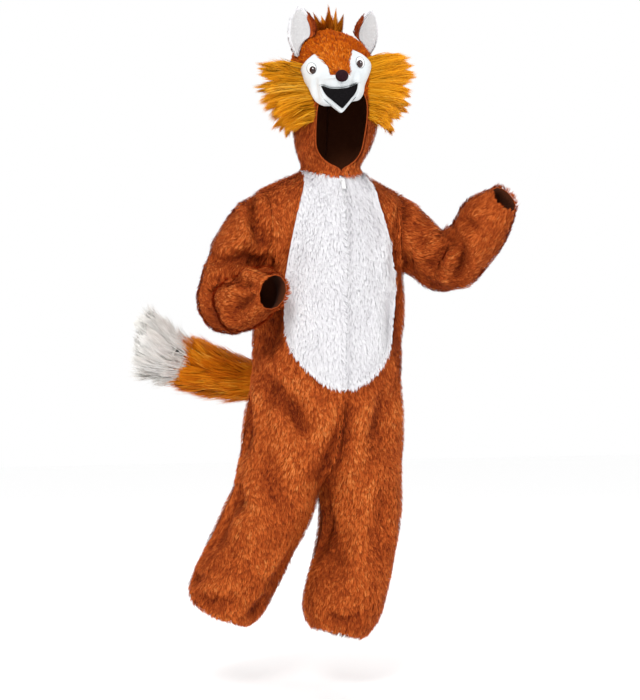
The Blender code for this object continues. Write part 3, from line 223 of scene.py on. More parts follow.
def finish_with(thing, kind, **values):
    """Add a modifier to the piece, set it and apply it."""
    change = thing.modifiers.new(kind.lower(), kind)
    for key, value in values.items():
        setattr(change, key, value)
    bpy.ops.object.select_all(action="DESELECT")
    bpy.context.view_layer.objects.active = thing
    thing.select_set(True)
    bpy.ops.object.modifier_apply(modifier=change.name)
    thing.select_set(False)


def smooth(mesh):
    """Shade a mesh smooth all over."""
    for polygon in mesh.polygons:
        polygon.use_smooth = True


def move_points(thing, points):
    """Bring a piece's points to these places."""
    thing.data.vertices.foreach_set("co", points.ravel())
    thing.data.update()


def read_mesh(mesh):
    """Points, point normals and triangles of a mesh, as arrays."""
    mesh.calc_loop_triangles()
    points = np.zeros(len(mesh.vertices) * 3)
    mesh.vertices.foreach_get("co", points)
    normals = np.zeros(len(mesh.vertices) * 3)
    mesh.vertex_normals.foreach_get("vector", normals)
    corners = np.zeros(len(mesh.loop_triangles) * 3, np.int32)
    mesh.loop_triangles.foreach_get("vertices", corners)
    return points.reshape(-1, 3), normals.reshape(-1, 3), corners.reshape(-1, 3)


def surface_tree(*things):
    """A tree of the surfaces of these pieces, to lay other pieces on."""
    points, triangles = [], []
    for thing in things:
        p, _, t = read_mesh(thing.data) if hasattr(thing, "data") else thing
        triangles += [tuple(int(i) + len(points) for i in row) for row in t]
        points += [tuple(q) for q in p]
    return BVHTree.FromPolygons(points, triangles)


def nearest(points, marks):
    """For each point, the mark that lies nearest: its place, its number and how far it is."""
    tree = KDTree(len(marks))
    for i, mark in enumerate(marks):
        tree.insert(mark, i)
    tree.balance()
    return [tree.find(p) for p in points]


def edge_gap(mesh, points):
    """How far each point is from the panel's own edge."""
    uses = {}
    for polygon in mesh.polygons:
        for key in polygon.edge_keys:
            uses[key] = uses.get(key, 0) + 1
    rim = sorted({v for key, count in uses.items() if count == 1 for v in key})
    return np.array([gap for _, _, gap in nearest(points, points[rim])])


def plush_face(node, under):
    """The panel's outer side, smoothed, creased and set in by the pile's depth, less where a seam holds it.
    Also how deep each point lies in a crease, not lessened at seams: the pile uses it for painted shade in
    creases and painted light on their ridges."""
    thing = as_object(node + "_face", face_side(node))
    finish_with(thing, "SUBSURF", levels=2, render_levels=2, boundary_smooth="PRESERVE_CORNERS")
    points, normals, _ = read_mesh(thing.data)
    held = np.exp(-((edge_gap(thing.data, points) / SEAM_WIDE) ** 2))
    folds = creased(points, normals)
    points = points + normals * (folds * (1.0 - 0.85 * held) - under * (1.0 - 0.9 * held))[:, None]
    move_points(thing, points)
    return thing, np.clip(-folds / 0.011, -0.6, 1.2)


def put(tree, kind, **settings):
    """Add a node to a material, with its fields and inputs set by name or joined to another node's output."""
    node = tree.nodes.new(kind)
    for key, value in settings.items():
        if hasattr(node, key):
            setattr(node, key, value)
        elif isinstance(value, bpy.types.NodeSocket):
            tree.links.new(value, node.inputs[key])
        else:
            node.inputs[key].default_value = value
    return node


def new_material(name, roughness, sheen=0.0, sheen_roughness=0.5, specular=0.5):
    """A material, its node tree and its shader, with its fixed numbers on the shader's own sockets."""
    material = bpy.data.materials.new(name)
    material.use_nodes = True
    tree = material.node_tree
    shader = tree.nodes["Principled BSDF"]
    shader.inputs["Roughness"].default_value = roughness
    shader.inputs["Sheen Weight"].default_value = sheen
    shader.inputs["Sheen Roughness"].default_value = sheen_roughness
    shader.inputs["Specular IOR Level"].default_value = specular
    return material, tree, shader


def ramp(tree, value, stops):
    """Colours from a value by these (place, colour) stops; colours are linear red, green and blue."""
    node = put(tree, "ShaderNodeValToRGB", Fac=value)
    bands = node.color_ramp.elements
    while len(bands) < len(stops):
        bands.new(0.5)
    for band, (place, colour) in zip(bands, stops):
        band.position = place
        band.color = (*colour, 1.0)
    return node.outputs["Color"]


def bumped(tree, shader, height, strength, distance):
    """Give the shader a small relief from a node's value."""
    bump = put(tree, "ShaderNodeBump", Strength=strength, Distance=distance, Height=height)
    tree.links.new(bump.outputs["Normal"], shader.inputs["Normal"])


def mottled(name, roughness, specular, noise, stops, bump=None):
    """A material mottled by noise of this (scale, detail), with its colour stops and, where it has
    relief, the bump's (strength, distance)."""
    material, tree, shader = new_material(name, roughness, specular=specular)
    place = put(tree, "ShaderNodeTexCoord").outputs["Object"]
    clouds = put(tree, "ShaderNodeTexNoise", Vector=place, Scale=noise[0], Detail=noise[1]).outputs["Fac"]
    tree.links.new(ramp(tree, clouds, stops), shader.inputs["Base Color"])
    if bump:
        bumped(tree, shader, clouds, *bump)
    return material


def ground_material(name, dark, light):
    """The plush's ground between the pile's roots: dark, as painted shade deep in the pile, and mottled at
    the size of the tufts.
    """
    return mottled(name, 0.95, 0.1, (260.0, 3.0), ((0.30, dark), (0.72, light)), bump=(0.6, 0.001))


def knit_material(name, dark, light):
    """The plush's knitted back, which shows inside the neck, hood, cuffs and hems."""
    material, tree, shader = new_material(name, 0.9, sheen=0.02, specular=0.1)
    place = put(tree, "ShaderNodeTexCoord").outputs["Object"]
    courses = put(tree, "ShaderNodeTexWave", bands_direction="Z", Vector=place, Scale=180.0, Distortion=1.5)
    loops = put(tree, "ShaderNodeTexVoronoi", Vector=place, Scale=620.0)
    both = put(tree, "ShaderNodeMath", operation="MULTIPLY")
    tree.links.new(courses.outputs["Fac"], both.inputs[0])
    tree.links.new(loops.outputs["Distance"], both.inputs[1])
    stitches = both.outputs["Value"]
    tree.links.new(ramp(tree, stitches, ((0.10, dark), (0.70, light))), shader.inputs["Base Color"])
    bumped(tree, shader, stitches, 0.35, 0.0006)
    return material


# Each plush ground is darker than its pile: painted shade deep among the strands.
BROWN_GROUND_SHADE = ground_material("brown plush ground", (0.270, 0.046, 0.009), (0.470, 0.088, 0.016))
WHITE_GROUND_SHADE = ground_material("white plush ground", (0.66, 0.65, 0.67), (0.84, 0.83, 0.85))
BROWN_KNIT = knit_material("brown knitted back", (0.060, 0.016, 0.006), (0.130, 0.036, 0.012))
WHITE_KNIT = knit_material("white knitted back", (0.45, 0.44, 0.44), (0.66, 0.65, 0.65))

# Each panel laid flat: width and length of its cloth, judged from its solid, and the area of its outer side
PANELS = table(
    "node slot width length area held",
    ("front_left", "brown_plush", 0.36, 1.02, 0.178, "draped"),
    ("front_right", "brown_plush", 0.36, 1.02, 0.181, "draped"),
    ("back_left", "brown_plush", 0.36, 1.04, 0.223, "draped"),
    ("back_right", "brown_plush", 0.36, 1.04, 0.217, "draped"),
    ("belly_left", "white_plush", 0.12, 0.48, 0.047, "draped"),
    ("belly_right", "white_plush", 0.12, 0.48, 0.047, "draped"),
    ("sleeve_left", "brown_plush", 0.48, 0.46, 0.118, "gathered"),
    ("sleeve_right", "brown_plush", 0.48, 0.46, 0.123, "gathered"),
    ("hood_left", "brown_plush", 0.32, 0.42, 0.073, "draped"),
    ("hood_right", "brown_plush", 0.32, 0.42, 0.071, "draped"),
)

faces = {}
for panel in PANELS:
    node = panel["node"]
    white = panel["slot"] == "white_plush"
    face, folds = plush_face(node, CLOTH_UNDER_PILE)
    cloth = as_object("cloth_" + node, face.data.copy())
    finish_with(cloth, "DECIMATE", ratio=0.35)
    cloth.data.materials.append(WHITE_GROUND_SHADE if white else BROWN_GROUND_SHADE)
    cloth.data.materials.append(WHITE_KNIT if white else BROWN_KNIT)
    finish_with(cloth, "SOLIDIFY", thickness=CLOTH_THICK, offset=-1.0, material_offset=1)
    smooth(cloth.data)
    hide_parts(node)
    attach(cloth, "costume")
    faces[node] = (*read_mesh(face.data), folds)
    bpy.data.objects.remove(face)


# The pile: fine polyester strands, brushed downwards on the body and along the sleeves. Each strand here is
# a slim bent blade of two triangles, painted darker at its root as shade deep in the pile; neighbours lean
# together in small tufts.
def cell_noise(points, size, seed):
    """A smooth uneven value from about -1 to 1 at each point, with patches of this size."""
    rng = np.random.default_rng(seed)
    waves = rng.normal(size=(7, 3)) / size * 1.6
    return np.sin(points @ waves.T + rng.uniform(0, 6.28, 7)).sum(1) / 2.6


def unit(vectors):
    return vectors / np.maximum(np.linalg.norm(vectors, axis=-1, keepdims=True), 1e-9)


def scatter(surface, count, seed, keep=None):
    """Points spread evenly over a surface, with its smooth normals and how deep each lies in a crease.
    keep drops some by their place and the way they face."""
    points, normals, corners = surface[:3]
    folds = surface[3] if len(surface) > 3 else np.zeros(len(points))
    rng = np.random.default_rng(seed)
    a, b, c = (points[corners[:, k]] for k in range(3))
    size = np.linalg.norm(np.cross(b - a, c - a), axis=1)
    if keep is not None:
        size = size * keep((a + b + c) / 3, normals[corners].mean(axis=1))
    chosen = rng.choice(len(size), count, p=size / size.sum())
    u, v = rng.random((2, count, 1))
    flip = u + v > 1
    u, v = np.where(flip, 1 - u, u), np.where(flip, 1 - v, v)
    na, nb, nc = (normals[corners[chosen, k]] for k in range(3))
    roots = a[chosen] + u * (b[chosen] - a[chosen]) + v * (c[chosen] - a[chosen])
    deep = folds[corners[chosen]]
    deep = deep[:, 0] + u[:, 0] * (deep[:, 1] - deep[:, 0]) + v[:, 0] * (deep[:, 2] - deep[:, 0])
    return roots, unit(na + u * (nb - na) + v * (nc - na)), deep


def strand_mesh(name, corners, triangles, across, along, normals):
    """A joined mesh of strands. Its map holds a strand's shade across and how far along it a corner lies."""
    mesh = bpy.data.meshes.new(name)
    mesh.vertices.add(len(corners))
    mesh.vertices.foreach_set("co", corners.ravel())
    mesh.loops.add(len(triangles) * 3)
    mesh.loops.foreach_set("vertex_index", triangles.ravel().astype(np.int32))
    mesh.polygons.add(len(triangles))
    mesh.polygons.foreach_set("loop_start", np.arange(len(triangles), dtype=np.int32) * 3)
    mesh.update(calc_edges=True)
    strand = mesh.uv_layers.new(name="OFBake")
    strand.data.foreach_set("uv", np.stack((across, along), axis=1)[triangles.ravel()].ravel())
    mesh.normals_split_custom_set_from_vertices(normals)
    return as_object(name, mesh)


FEW, BROAD = ((1, 1.0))
TUFT_STRANDS = 10
TUFT_PULL = 0.45
BEND_AT = 0.45
LENGTHS_VARY = 0.22
LEANS_VARY = 7
# The second darkens strands in creases as painted shade and lightens the ridges beside them as painted light;
# the others vary the tone at random.
PATCH_SHADE, CREASE_PAINTED_SHADE, TUFT_SHADE, STRAND_SHADE = 0.05, 0.28, 0.10, 0.13
PILE_SOFTNESS = 0.55


def grow(name, surface, count, length, wide, brush, lean, seed, unevenness=14.0, keep=None, tone=0.0):
    """A joined mesh of blades on a surface. brush gives the direction they are combed in at each root,
    lean the angles of their lower and upper halves from upright, in degrees."""
    rng = np.random.default_rng(seed)
    roots, up, deep = scatter(surface, count, seed + 1, keep)
    combed = brush(roots)
    combed = unit(combed - up * (combed * up).sum(1, keepdims=True))
    turn = unevenness * cell_noise(roots, 0.030, seed + 2) + rng.normal(0, unevenness * 0.7, count)
    turn = np.radians(turn)
    combed = combed * np.cos(turn)[:, None] + np.cross(up, combed) * np.sin(turn)[:, None]
    low = np.radians(lean[0] + rng.normal(0, LEANS_VARY, count))[:, None]
    high = np.radians(lean[1] + rng.normal(0, LEANS_VARY, count))[:, None]
    long = (length * np.clip(rng.normal(1.0, LENGTHS_VARY, count), 0.45, 1.6))[:, None]
    middles = roots + long * BEND_AT * (up * np.cos(low) + combed * np.sin(low))
    tips = middles + long * (1 - BEND_AT) * (up * np.cos(high) + combed * np.sin(high))
    leaders = rng.choice(count, max(count // TUFT_STRANDS, 1), replace=False)
    leader = np.array([number for _, number, _ in nearest(roots, roots[leaders])])
    pull = (tips[leaders][leader] - tips) * (TUFT_PULL * rng.uniform(0.5, 1.2, (count, 1)))
    tips = tips + pull
    middles = middles + pull * 0.35
    aside = unit(np.cross(tips - roots, up)) * (wide * rng.uniform(0.7, 1.25, (count, 1)) / 2)
    corners = np.stack((roots, middles + aside, middles - aside, tips), axis=1).reshape(-1, 3)
    base = np.arange(count)[:, None] * 4
    triangles = np.concatenate((base + (0, 1, 2), base + (2, 1, 3)), axis=1).reshape(-1, 3)
    # Painted shade: strands deep in a crease are darker. Painted light: strands on its ridges are lighter.
    shade = 0.5 + tone + PATCH_SHADE * cell_noise(roots, 0.045, seed + 3) - CREASE_PAINTED_SHADE * deep
    shade = shade + TUFT_SHADE * rng.normal(size=len(leaders))[leader] + STRAND_SHADE * rng.normal(size=count)
    shade = np.clip(shade, 0.03, 0.97)
    across = np.stack((shade, shade + 0.012, shade - 0.012, shade), axis=1).ravel()
    along = np.tile((0.02, 0.46, 0.46, 0.98), count)
    flat = unit(np.cross(aside, tips - middles))
    flat = flat * np.sign((flat * up).sum(1, keepdims=True))
    softened = unit(up * PILE_SOFTNESS + flat * (1 - PILE_SOFTNESS))
    return strand_mesh(name, corners, triangles, across, along, np.repeat(softened, 4, axis=0))


def pile_material(name, tones, root=0.48, tip=1.10, roughness=0.8):
    """Strands: tones run over the strands from dark to light, and each strand is painted darker at its root,
    as shade deep in the pile, and lighter at its tip, as painted light.
    """
    material, tree, shader = new_material(name, roughness, sheen_roughness=0.4, specular=0.06)
    strand = put(tree, "ShaderNodeUVMap", uv_map="OFBake").outputs["UV"]
    split = put(tree, "ShaderNodeSeparateXYZ", Vector=strand).outputs
    colour = ramp(tree, split["X"], tones)
    # Along each strand: painted shade towards the root and painted light at the tip
    depth = ramp(tree, split["Y"], ((0.05, (root,) * 3), (0.55, (0.92,) * 3), (1.0, (tip,) * 3)))
    mixed = put(tree, "ShaderNodeMix", data_type="RGBA", blend_type="MULTIPLY", Factor=1.0, A=colour, B=depth)
    tree.links.new(mixed.outputs["Result"], shader.inputs["Base Color"])
    return material


def brushed_down(points):
    return np.tile((0.0, 0.05, -1.0), (len(points), 1))


def brushed_along(line):
    """Brushed along a line of points, as a sleeve's pile is towards the cuff."""
    line = np.array(line)

    def brush(points):
        middle = (line[1:] + line[:-1]) / 2
        gap = np.linalg.norm(points[:, None] - middle[None], axis=2)
        weight = 1.0 / (gap**4 + 1e-8)
        return (weight[:, :, None] * unit(line[1:] - line[:-1])[None]).sum(1)

    return brush


BROWN_PILE = pile_material(
    "brown pile",
    ((0.0, (0.130, 0.016, 0.004)), (0.25, (0.310, 0.048, 0.008)), (0.50, (0.530, 0.098, 0.017)),
     (0.75, (0.690, 0.160, 0.030)), (1.0, (0.84, 0.28, 0.07))),
)
WHITE_PILE = pile_material(
    "white pile",
    ((0.0, (0.76, 0.75, 0.78)), (0.5, (0.89, 0.88, 0.90)), (1.0, (0.95, 0.95, 0.96))),
    root=0.92,
    tip=1.04,
    roughness=0.85,
)
slider_low, slider_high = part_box("zip_slider")
SHUT_BELOW = 0.020
SHUT_REACH = 0.006
TAB_CLEAR_ASIDE, TAB_CLEAR_BELOW, TAB_CLEAR_ABOVE = 0.005, 0.018, 0.014
zip_tree = surface_tree(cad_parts["zip_chain"])


def brushed_shut(points):
    """Brushed down, and over the zip from both sides, but for the place of its slider and pull tab."""
    near = np.array([zip_tree.find_nearest(Vector(p))[0] for p in points]) - points
    gap = np.linalg.norm(near, axis=1)
    over = 1.5 * np.exp(-((gap / SHUT_REACH) ** 2)) * (points[:, 2] < slider_low.z - SHUT_BELOW)
    return brushed_down(points) + unit(near) * over[:, None]


# The middle line of each arm from shoulder to wrist
LEFT_ARM = ((0.14, 0.0, -0.12), (0.21, -0.02, -0.15), (0.26, -0.07, -0.16),
            (0.29, -0.11, -0.12), (0.33, -0.17, -0.06))
RIGHT_ARM = ((-0.14, 0.0, -0.12), (-0.20, 0.0, -0.20), (-0.23, -0.02, -0.27),
             (-0.20, -0.09, -0.27), (-0.16, -0.17, -0.25))
PILES = table(
    "node count seed brush",
    ("front_left", 41000, 11, brushed_down),
    ("front_right", 41000, 12, brushed_down),
    ("back_left", 41000, 13, brushed_down),
    ("back_right", 41000, 14, brushed_down),
    ("belly_left", 17000, 15, brushed_shut),
    ("belly_right", 17000, 16, brushed_shut),
    ("sleeve_left", 29000, 17, brushed_along(LEFT_ARM)),
    ("sleeve_right", 29000, 18, brushed_along(RIGHT_ARM)),
    ("hood_left", 9000, 19, brushed_down),
    ("hood_right", 9000, 20, brushed_down),
)
CROWN_FROM = 0.135
CROWN_BLEND = 0.040


def on_crown(centres, facing):
    """How much of the pile is the crown's own, by height: the body's pile passes into it."""
    return np.clip((centres[:, 2] - CROWN_FROM) / CROWN_BLEND + 0.5, 0.0, 1.0)


def body_pile(centres, facing):
    """Everywhere but on the hood's crown, which has its own short orange pile, and over the zip's slider."""
    middle = (slider_low.x + slider_high.x) / 2
    over = (abs(centres[:, 0] - middle) < TAB_CLEAR_ASIDE) & (centres[:, 1] < 0)
    over = over & (centres[:, 2] > slider_low.z - TAB_CLEAR_BELOW)
    over = over & (centres[:, 2] < slider_high.z + TAB_CLEAR_ABOVE)
    return (1.0 - on_crown(centres, facing)) * ~over


# Length and width of a strand, and how uneven the brushing is, in degrees
BROWN_STRAND = (0.0112, 0.0014, 14.0)
WHITE_STRAND = (0.0125, 0.0012, 9.0)
PILE_LEAN = (50, 74)
for row in PILES:
    node = row["node"]
    white = node.startswith("belly")
    long, wide, unevenness = WHITE_STRAND if white else BROWN_STRAND
    pile = grow("pile_" + node, faces[node], row["count"] // FEW, long, wide * BROAD,
                row["brush"], PILE_LEAN, row["seed"], unevenness, keep=body_pile)
    pile.data.materials.append(WHITE_PILE if white else BROWN_PILE)
    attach(pile, "costume")


# The fox's face: padded patches of white velour, sewn down at their edges, with a brown plush wedge between
# them. They are lifted from their solids and rounded, as wadding rounds a patch.
VELOUR, tree, shader = new_material("white velour", 0.85, sheen=0.1, specular=0.2)
place = put(tree, "ShaderNodeTexCoord").outputs["Object"]
nap = put(tree, "ShaderNodeTexNoise", Vector=place, Scale=900.0, Detail=2.0).outputs["Fac"]
cloud = put(tree, "ShaderNodeTexNoise", Vector=place, Scale=38.0, Detail=2.0).outputs["Fac"]
tones = ramp(tree, cloud, ((0.25, (0.62, 0.66, 0.68)), (0.75, (0.71, 0.74, 0.75))))
tree.links.new(tones, shader.inputs["Base Color"])
bumped(tree, shader, nap, 0.25, 0.0005)


def rounded(node, name, crease=0.35):
    """The whole solid as a soft closed form: quads, with its rim kept a little, then subdivided."""
    shape = welded(node)
    rims = shape.edges.layers.float.new("crease_edge")
    for edge in shape.edges:
        if len(edge.link_faces) == 2 and edge.calc_face_angle(0.0) > RIM_ANGLE:
            edge[rims] = crease
    thing = as_object(name, as_quads(shape, name, math.radians(40)))
    finish_with(thing, "SUBSURF", levels=2, render_levels=2)
    smooth(thing.data)
    return thing


# Where the snout is pulled, in the picture's view: metres across and up, how wide, and the pull across and up
PULLS = ((-0.0166, 0.174, 0.013, 0.0, 0.0065), (0.0560, 0.179, 0.013, 0.0, 0.0025),
         (-0.0100, 0.142, 0.020, -0.0060, 0.0030), (0.0440, 0.141, 0.016, 0.0060, 0.0080))


def settled(points):
    """The snout hangs a little to its right on the head and its chin is pulled up, as it is worn. The
    corners of the mouth are drawn up and the jowls out."""
    low = np.clip((0.215 - points[:, 2]) / 0.05, 0.0, 1.0)
    chin = np.clip((0.165 - points[:, 2]) / 0.04, 0.0, 1.0)
    right = view_axes(VIEW_TURN)[1]
    points = points - np.outer(low * 0.0075, right) + np.outer(chin * 0.0040, (0.0, 0.0, 1.0))
    over, height = laid_out(points, VIEW_TURN)
    moves = np.zeros(points.shape)
    for x, z, wide, aside, rise in PULLS:
        share = np.exp(-((over - x) ** 2 + (height - z) ** 2) / wide**2)
        moves += np.outer(share * aside, right) + np.outer(share * rise, (0.0, 0.0, 1.0))
    return points + moves


for node, name, mate in (
    ("mask_left", "cheek_left", "mask_right"),
    ("mask_right", "cheek_right", "mask_left"),
    ("jaw", "lower_jaw", None),
):
    patch = rounded(node, name, crease=0.82)
    points, normals, _ = read_mesh(patch.data)
    points = points + normals * creased(points, normals)[:, None]
    if mate:
        mate_tree = surface_tree(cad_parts[mate])
        for n, point in enumerate(points):
            near = mate_tree.find_nearest(Vector(point), 0.004)
            if near[0] is not None:
                points[n] = point + (np.array(near[0]) - point) * (1.15 - near[3] / 0.004)
    move_points(patch, settled(points))
    patch.data.materials.append(VELOUR)
    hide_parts(node)
    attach(patch, "costume")

# The brow and the crown: a padded wedge between the cheeks and the top of the hood, in short orange-brown
# plush brushed up and back from the nose.
ORANGE_PILE = pile_material(
    "light brown pile",
    ((0.0, (0.240, 0.028, 0.001)), (0.45, (0.440, 0.066, 0.001)),
     (0.75, (0.620, 0.130, 0.003)), (1.0, (0.82, 0.27, 0.03))),
)
wedge = rounded("bridge", "nose_bridge", crease=0.7)
wedge.data.materials.append(BROWN_GROUND_SHADE)
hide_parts("bridge")
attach(wedge, "costume")


NOSE_TIP = np.array((-0.01, -0.20, 0.170))
CROWN_STRAND = (0.0080, 0.0012)
CROWN_LEAN = (48, 70)


def from_nose(points):
    """Brushed up and back from the nose, as on an animal's brow."""
    return unit(points - NOSE_TIP + np.array((0.0, 0.02, 0.06)))


for name, surface, count, keep, seed, tone, slot in (
    ("pile_bridge", read_mesh(wedge.data), 4500, None, 31, 0.16, "brown_fur"),
    ("pile_crown_left", faces["hood_left"], 11000, on_crown, 32, 0.0, "brown_plush"),
    ("pile_crown_right", faces["hood_right"], 11000, on_crown, 33, 0.0, "brown_plush"),
):
    long, wide = CROWN_STRAND
    fur = grow(name, surface, count // FEW, long, wide * BROAD, from_nose, CROWN_LEAN, seed,
               keep=keep, tone=tone)
    fur.data.materials.append(ORANGE_PILE)
    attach(fur, "costume")

# The mouth: a flat piece of black felt, sewn in between the muzzle and the lower jaw. It follows the snout's
# set, so its edges stay behind the cheeks.
FELT = mottled(
    "black felt", 0.95, 0.03, (700.0, 4.0), ((0.3, (0.003, 0.003, 0.003)), (0.8, (0.014, 0.012, 0.014)))
)
mouth = rounded("mouth", "open_mouth", crease=1.0)
move_points(mouth, settled(read_mesh(mouth.data)[0]))
mouth.data.materials.append(FELT)
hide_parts("mouth")
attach(mouth, "costume")

# The nose: a stuffed ball of very dark velour, sewn on at the tip of the muzzle. It droops a little from the
# middle of its solid.
NOSE_VELOUR = mottled(
    "dark nose velour", 0.70, 0.10, (500.0, 3.0), ((0.3, (0.010, 0.002, 0.004)), (0.8, (0.035, 0.008, 0.012)))
)
NOSE_HALF_SIZES = (0.0132, 0.0125, 0.0121)
NOSE_DROOP = Vector((-0.0040, -0.0035, -0.0065))
low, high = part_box("nose")
bpy.ops.mesh.primitive_uv_sphere_add(segments=40, ring_count=24, radius=1.0)
nose = bpy.context.object
nose.name = nose.data.name = "nose_ball"
nose.scale = NOSE_HALF_SIZES
nose.location = (low + high) / 2 + NOSE_DROOP
bpy.ops.object.transform_apply(location=True, rotation=True, scale=True)
smooth(nose.data)
nose.data.materials.append(NOSE_VELOUR)
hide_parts("nose")
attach(nose, "costume")


# The eyes: white plastic ovals stuck on the cheeks, with a thin dark rim, a dark brown pupil low on the nose
# side and a small painted glint.
def plain_plastic(name, dark, light, roughness, scale=300.0):
    """Smooth moulded or printed plastic, all but even in tone."""
    return mottled(name, roughness, 0.5, (scale, 2.0), ((0.3, dark), (0.7, light)), bump=(0.08, 0.0003))


EYE_WHITE = plain_plastic("eye white", (0.86, 0.88, 0.88), (0.93, 0.94, 0.94), 0.25)
EYE_RIM = plain_plastic("eye rim", (0.060, 0.050, 0.055), (0.090, 0.080, 0.085), 0.35)
PUPIL = plain_plastic("pupil", (0.016, 0.004, 0.003), (0.034, 0.009, 0.006), 0.12)
GLINT = plain_plastic("painted glint", (0.90, 0.90, 0.92), (0.96, 0.96, 0.97), 0.20)
EYES = table(
    "word solid tilt aside rise shift",
    ("right", "eye_right", 0.50, 0.0034, -0.0040, 0.0),
    ("left", "eye_left", -0.30, -0.0030, -0.0040, -0.006),
)
# Half width and half height of each oval, how far it stands off and how much it domes
OVALS = {
    "white": (0.0096, 0.0116, 0.0012, 0.0028),
    "rim": (0.0105, 0.0125, 0.0010, 0.0004),
    "pupil": (0.0068, 0.0078, 0.0011, 0.0012),
    "glint": (0.0010, 0.0012, 0.0005, 0.0003),
}
GLINT_ASIDE, GLINT_RISE = 0.0006, 0.0024


def oval(name, tree_of, centre, out, across, up, tilt, half, tall, stand, dome, rings=7, sides=40):
    """A low domed oval lying on a surface: rings of points dropped onto it and raised a little."""
    points, quads = [], []
    cut, skew = math.cos(tilt), math.sin(tilt)
    for ring in range(rings + 1):
        share = 1.0 - ring / rings
        for n in range(sides):
            a = 2 * math.pi * n / sides
            x, y = half * share * math.cos(a), tall * share * math.sin(a)
            start = centre + across * (x * cut - y * skew) + up * (x * skew + y * cut) + out * 0.03
            hit = tree_of.ray_cast(Vector(start), Vector(-out))
            base = np.array(hit[0]) if hit[0] is not None else start - out * 0.03
            points.append(base + out * (stand + dome * (1 - share * share)))
    for ring in range(rings):
        for n in range(sides):
            m = (n + 1) % sides
            quads.append((ring * sides + n, ring * sides + m, (ring + 1) * sides + m, (ring + 1) * sides + n))
    mesh = bpy.data.meshes.new(name)
    mesh.from_pydata([tuple(p) for p in points], [], quads)
    thing = as_object(name, mesh)
    bpy.context.view_layer.objects.active = thing
    thing.select_set(True)
    bpy.ops.object.mode_set(mode="EDIT")
    bpy.ops.mesh.select_all(action="SELECT")
    bpy.ops.mesh.remove_doubles(threshold=0.00002)
    bpy.ops.mesh.normals_make_consistent(inside=False)
    bpy.ops.object.mode_set(mode="OBJECT")
    thing.select_set(False)
    smooth(mesh)
    return thing


cheeks = {"right": bpy.data.objects["cheek_right"], "left": bpy.data.objects["cheek_left"]}
for eye in EYES:
    low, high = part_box(eye["solid"])
    centre = np.array((low + high) / 2)
    face_tree = surface_tree(cheeks[eye["word"]])
    near = face_tree.find_nearest(Vector(centre))
    out = unit(unit(np.array(near[1])) + np.array((0.0, -0.6, 0.0)))
    up = unit(np.array((0.0, 0.0, 1.0)) - out * out[2])
    across = np.cross(up, out)
    centre = centre + across * eye["shift"]
    name = "eye_" + eye["word"] + "_"
    ways = (out, across, up)
    white = oval(name + "white", face_tree, centre, *ways, eye["tilt"], *OVALS["white"])
    white.data.materials.append(EYE_WHITE)
    rim = oval(name + "rim", face_tree, centre, *ways, eye["tilt"], *OVALS["rim"])
    rim.data.materials.append(EYE_RIM)
    spot = centre + across * eye["aside"] + up * eye["rise"]
    pupil = oval(name + "pupil", surface_tree(white), spot, *ways, eye["tilt"], *OVALS["pupil"], rings=5)
    pupil.data.materials.append(PUPIL)
    spot = spot + across * GLINT_ASIDE + up * GLINT_RISE
    glint = oval(name + "glint", surface_tree(pupil), spot, *ways, 0.0, *OVALS["glint"], rings=3, sides=16)
    glint.data.materials.append(GLINT)
    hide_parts(eye["solid"])
    for piece in (white, rim, pupil, glint):
        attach(piece, "costume")


# The ears: cupped leaves of brown plush, each with a white lining sewn in. Brown pile covers the back, and
# the front of the rim has a fuzzy white edge.
EAR_PILE = pile_material(
    "ear pile",
    ((0.0, (0.110, 0.012, 0.002)), (0.45, (0.230, 0.030, 0.005)),
     (0.75, (0.330, 0.060, 0.012)), (1.0, (0.48, 0.12, 0.03))),
)
EAR_STRAND = (0.007, 0.0012)
EAR_LEAN = (62, 80)
INNER_SHARE = 0.30
LINING_NEAR = 0.0065
# The lining is greyer than its white rim: partly its own colour, partly painted shade inside the cupped ear.
LINING = ground_material("greyish short velour with painted shade", (0.54, 0.54, 0.545), (0.62, 0.62, 0.625))
for word, lean, side in (("left", (0.15, 0.0, 1.0), 1), ("right", (-0.2, 0.0, 1.0), -1)):
    ear = rounded("ear_" + word, "ear_back_" + word, crease=0.7)
    ear.data.materials.append(BROWN_GROUND_SHADE)
    ear.data.materials.append(WHITE_GROUND_SHADE)
    lining = rounded("ear_lining_" + word, "ear_inside_" + word, crease=0.8)
    lining_tree = surface_tree(lining)
    low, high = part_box("ear_lining_" + word)
    middle = (low.x + high.x) / 2
    inner_from = -INNER_SHARE * (high.x - low.x)

    def white_rim(centres, facing):
        """The front of the ear's rim on its outer side and top, which is white and fuzzy like the lining."""
        outer = (centres[:, 0] - middle) * side > inner_from
        return (outer & (facing[:, 1] < 0.60) & ~brown_back(centres, facing).astype(bool)).astype(float)

    def brown_back(centres, facing):
        """The ear's back, and its front where it shows as a sliver on the inner side of the lining."""
        near = np.array([lining_tree.find_nearest(Vector(c))[3] for c in centres]) < LINING_NEAR
        inner = (centres[:, 0] - middle) * side < inner_from
        return ((~near & inner) | (facing[:, 1] > 0.70)).astype(float)

    def up_or_down(points):
        """Brushed up in front on the inner side, and down behind: no brown shows past the white rim."""
        inner = (points[:, 0] - middle) * side < inner_from
        return np.where(inner[:, None], lean, (0.0, 0.0, -1.0))

    def upward(points):
        """Brushed along the ear's own lean."""
        return np.tile(lean, (len(points), 1))

    middles = np.array([p.center for p in ear.data.polygons])
    ways = np.array([p.normal for p in ear.data.polygons])
    for polygon, white in zip(ear.data.polygons, white_rim(middles, ways)):
        polygon.material_index = int(white)
    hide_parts("ear_" + word)
    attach(ear, "costume")
    for name, keep, pile, count, brush in (
        ("pile_ear_", brown_back, EAR_PILE, 4000, up_or_down),
        ("rim_ear_", white_rim, WHITE_PILE, 3600, upward),
    ):
        fur = grow(name + word, read_mesh(ear.data), count, *EAR_STRAND, brush, EAR_LEAN, 41 + len(word),
                   keep=keep)
        fur.data.materials.append(pile)
        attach(fur, "costume")
    lining.data.materials.append(LINING)
    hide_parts("ear_lining_" + word)
    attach(lining, "costume")


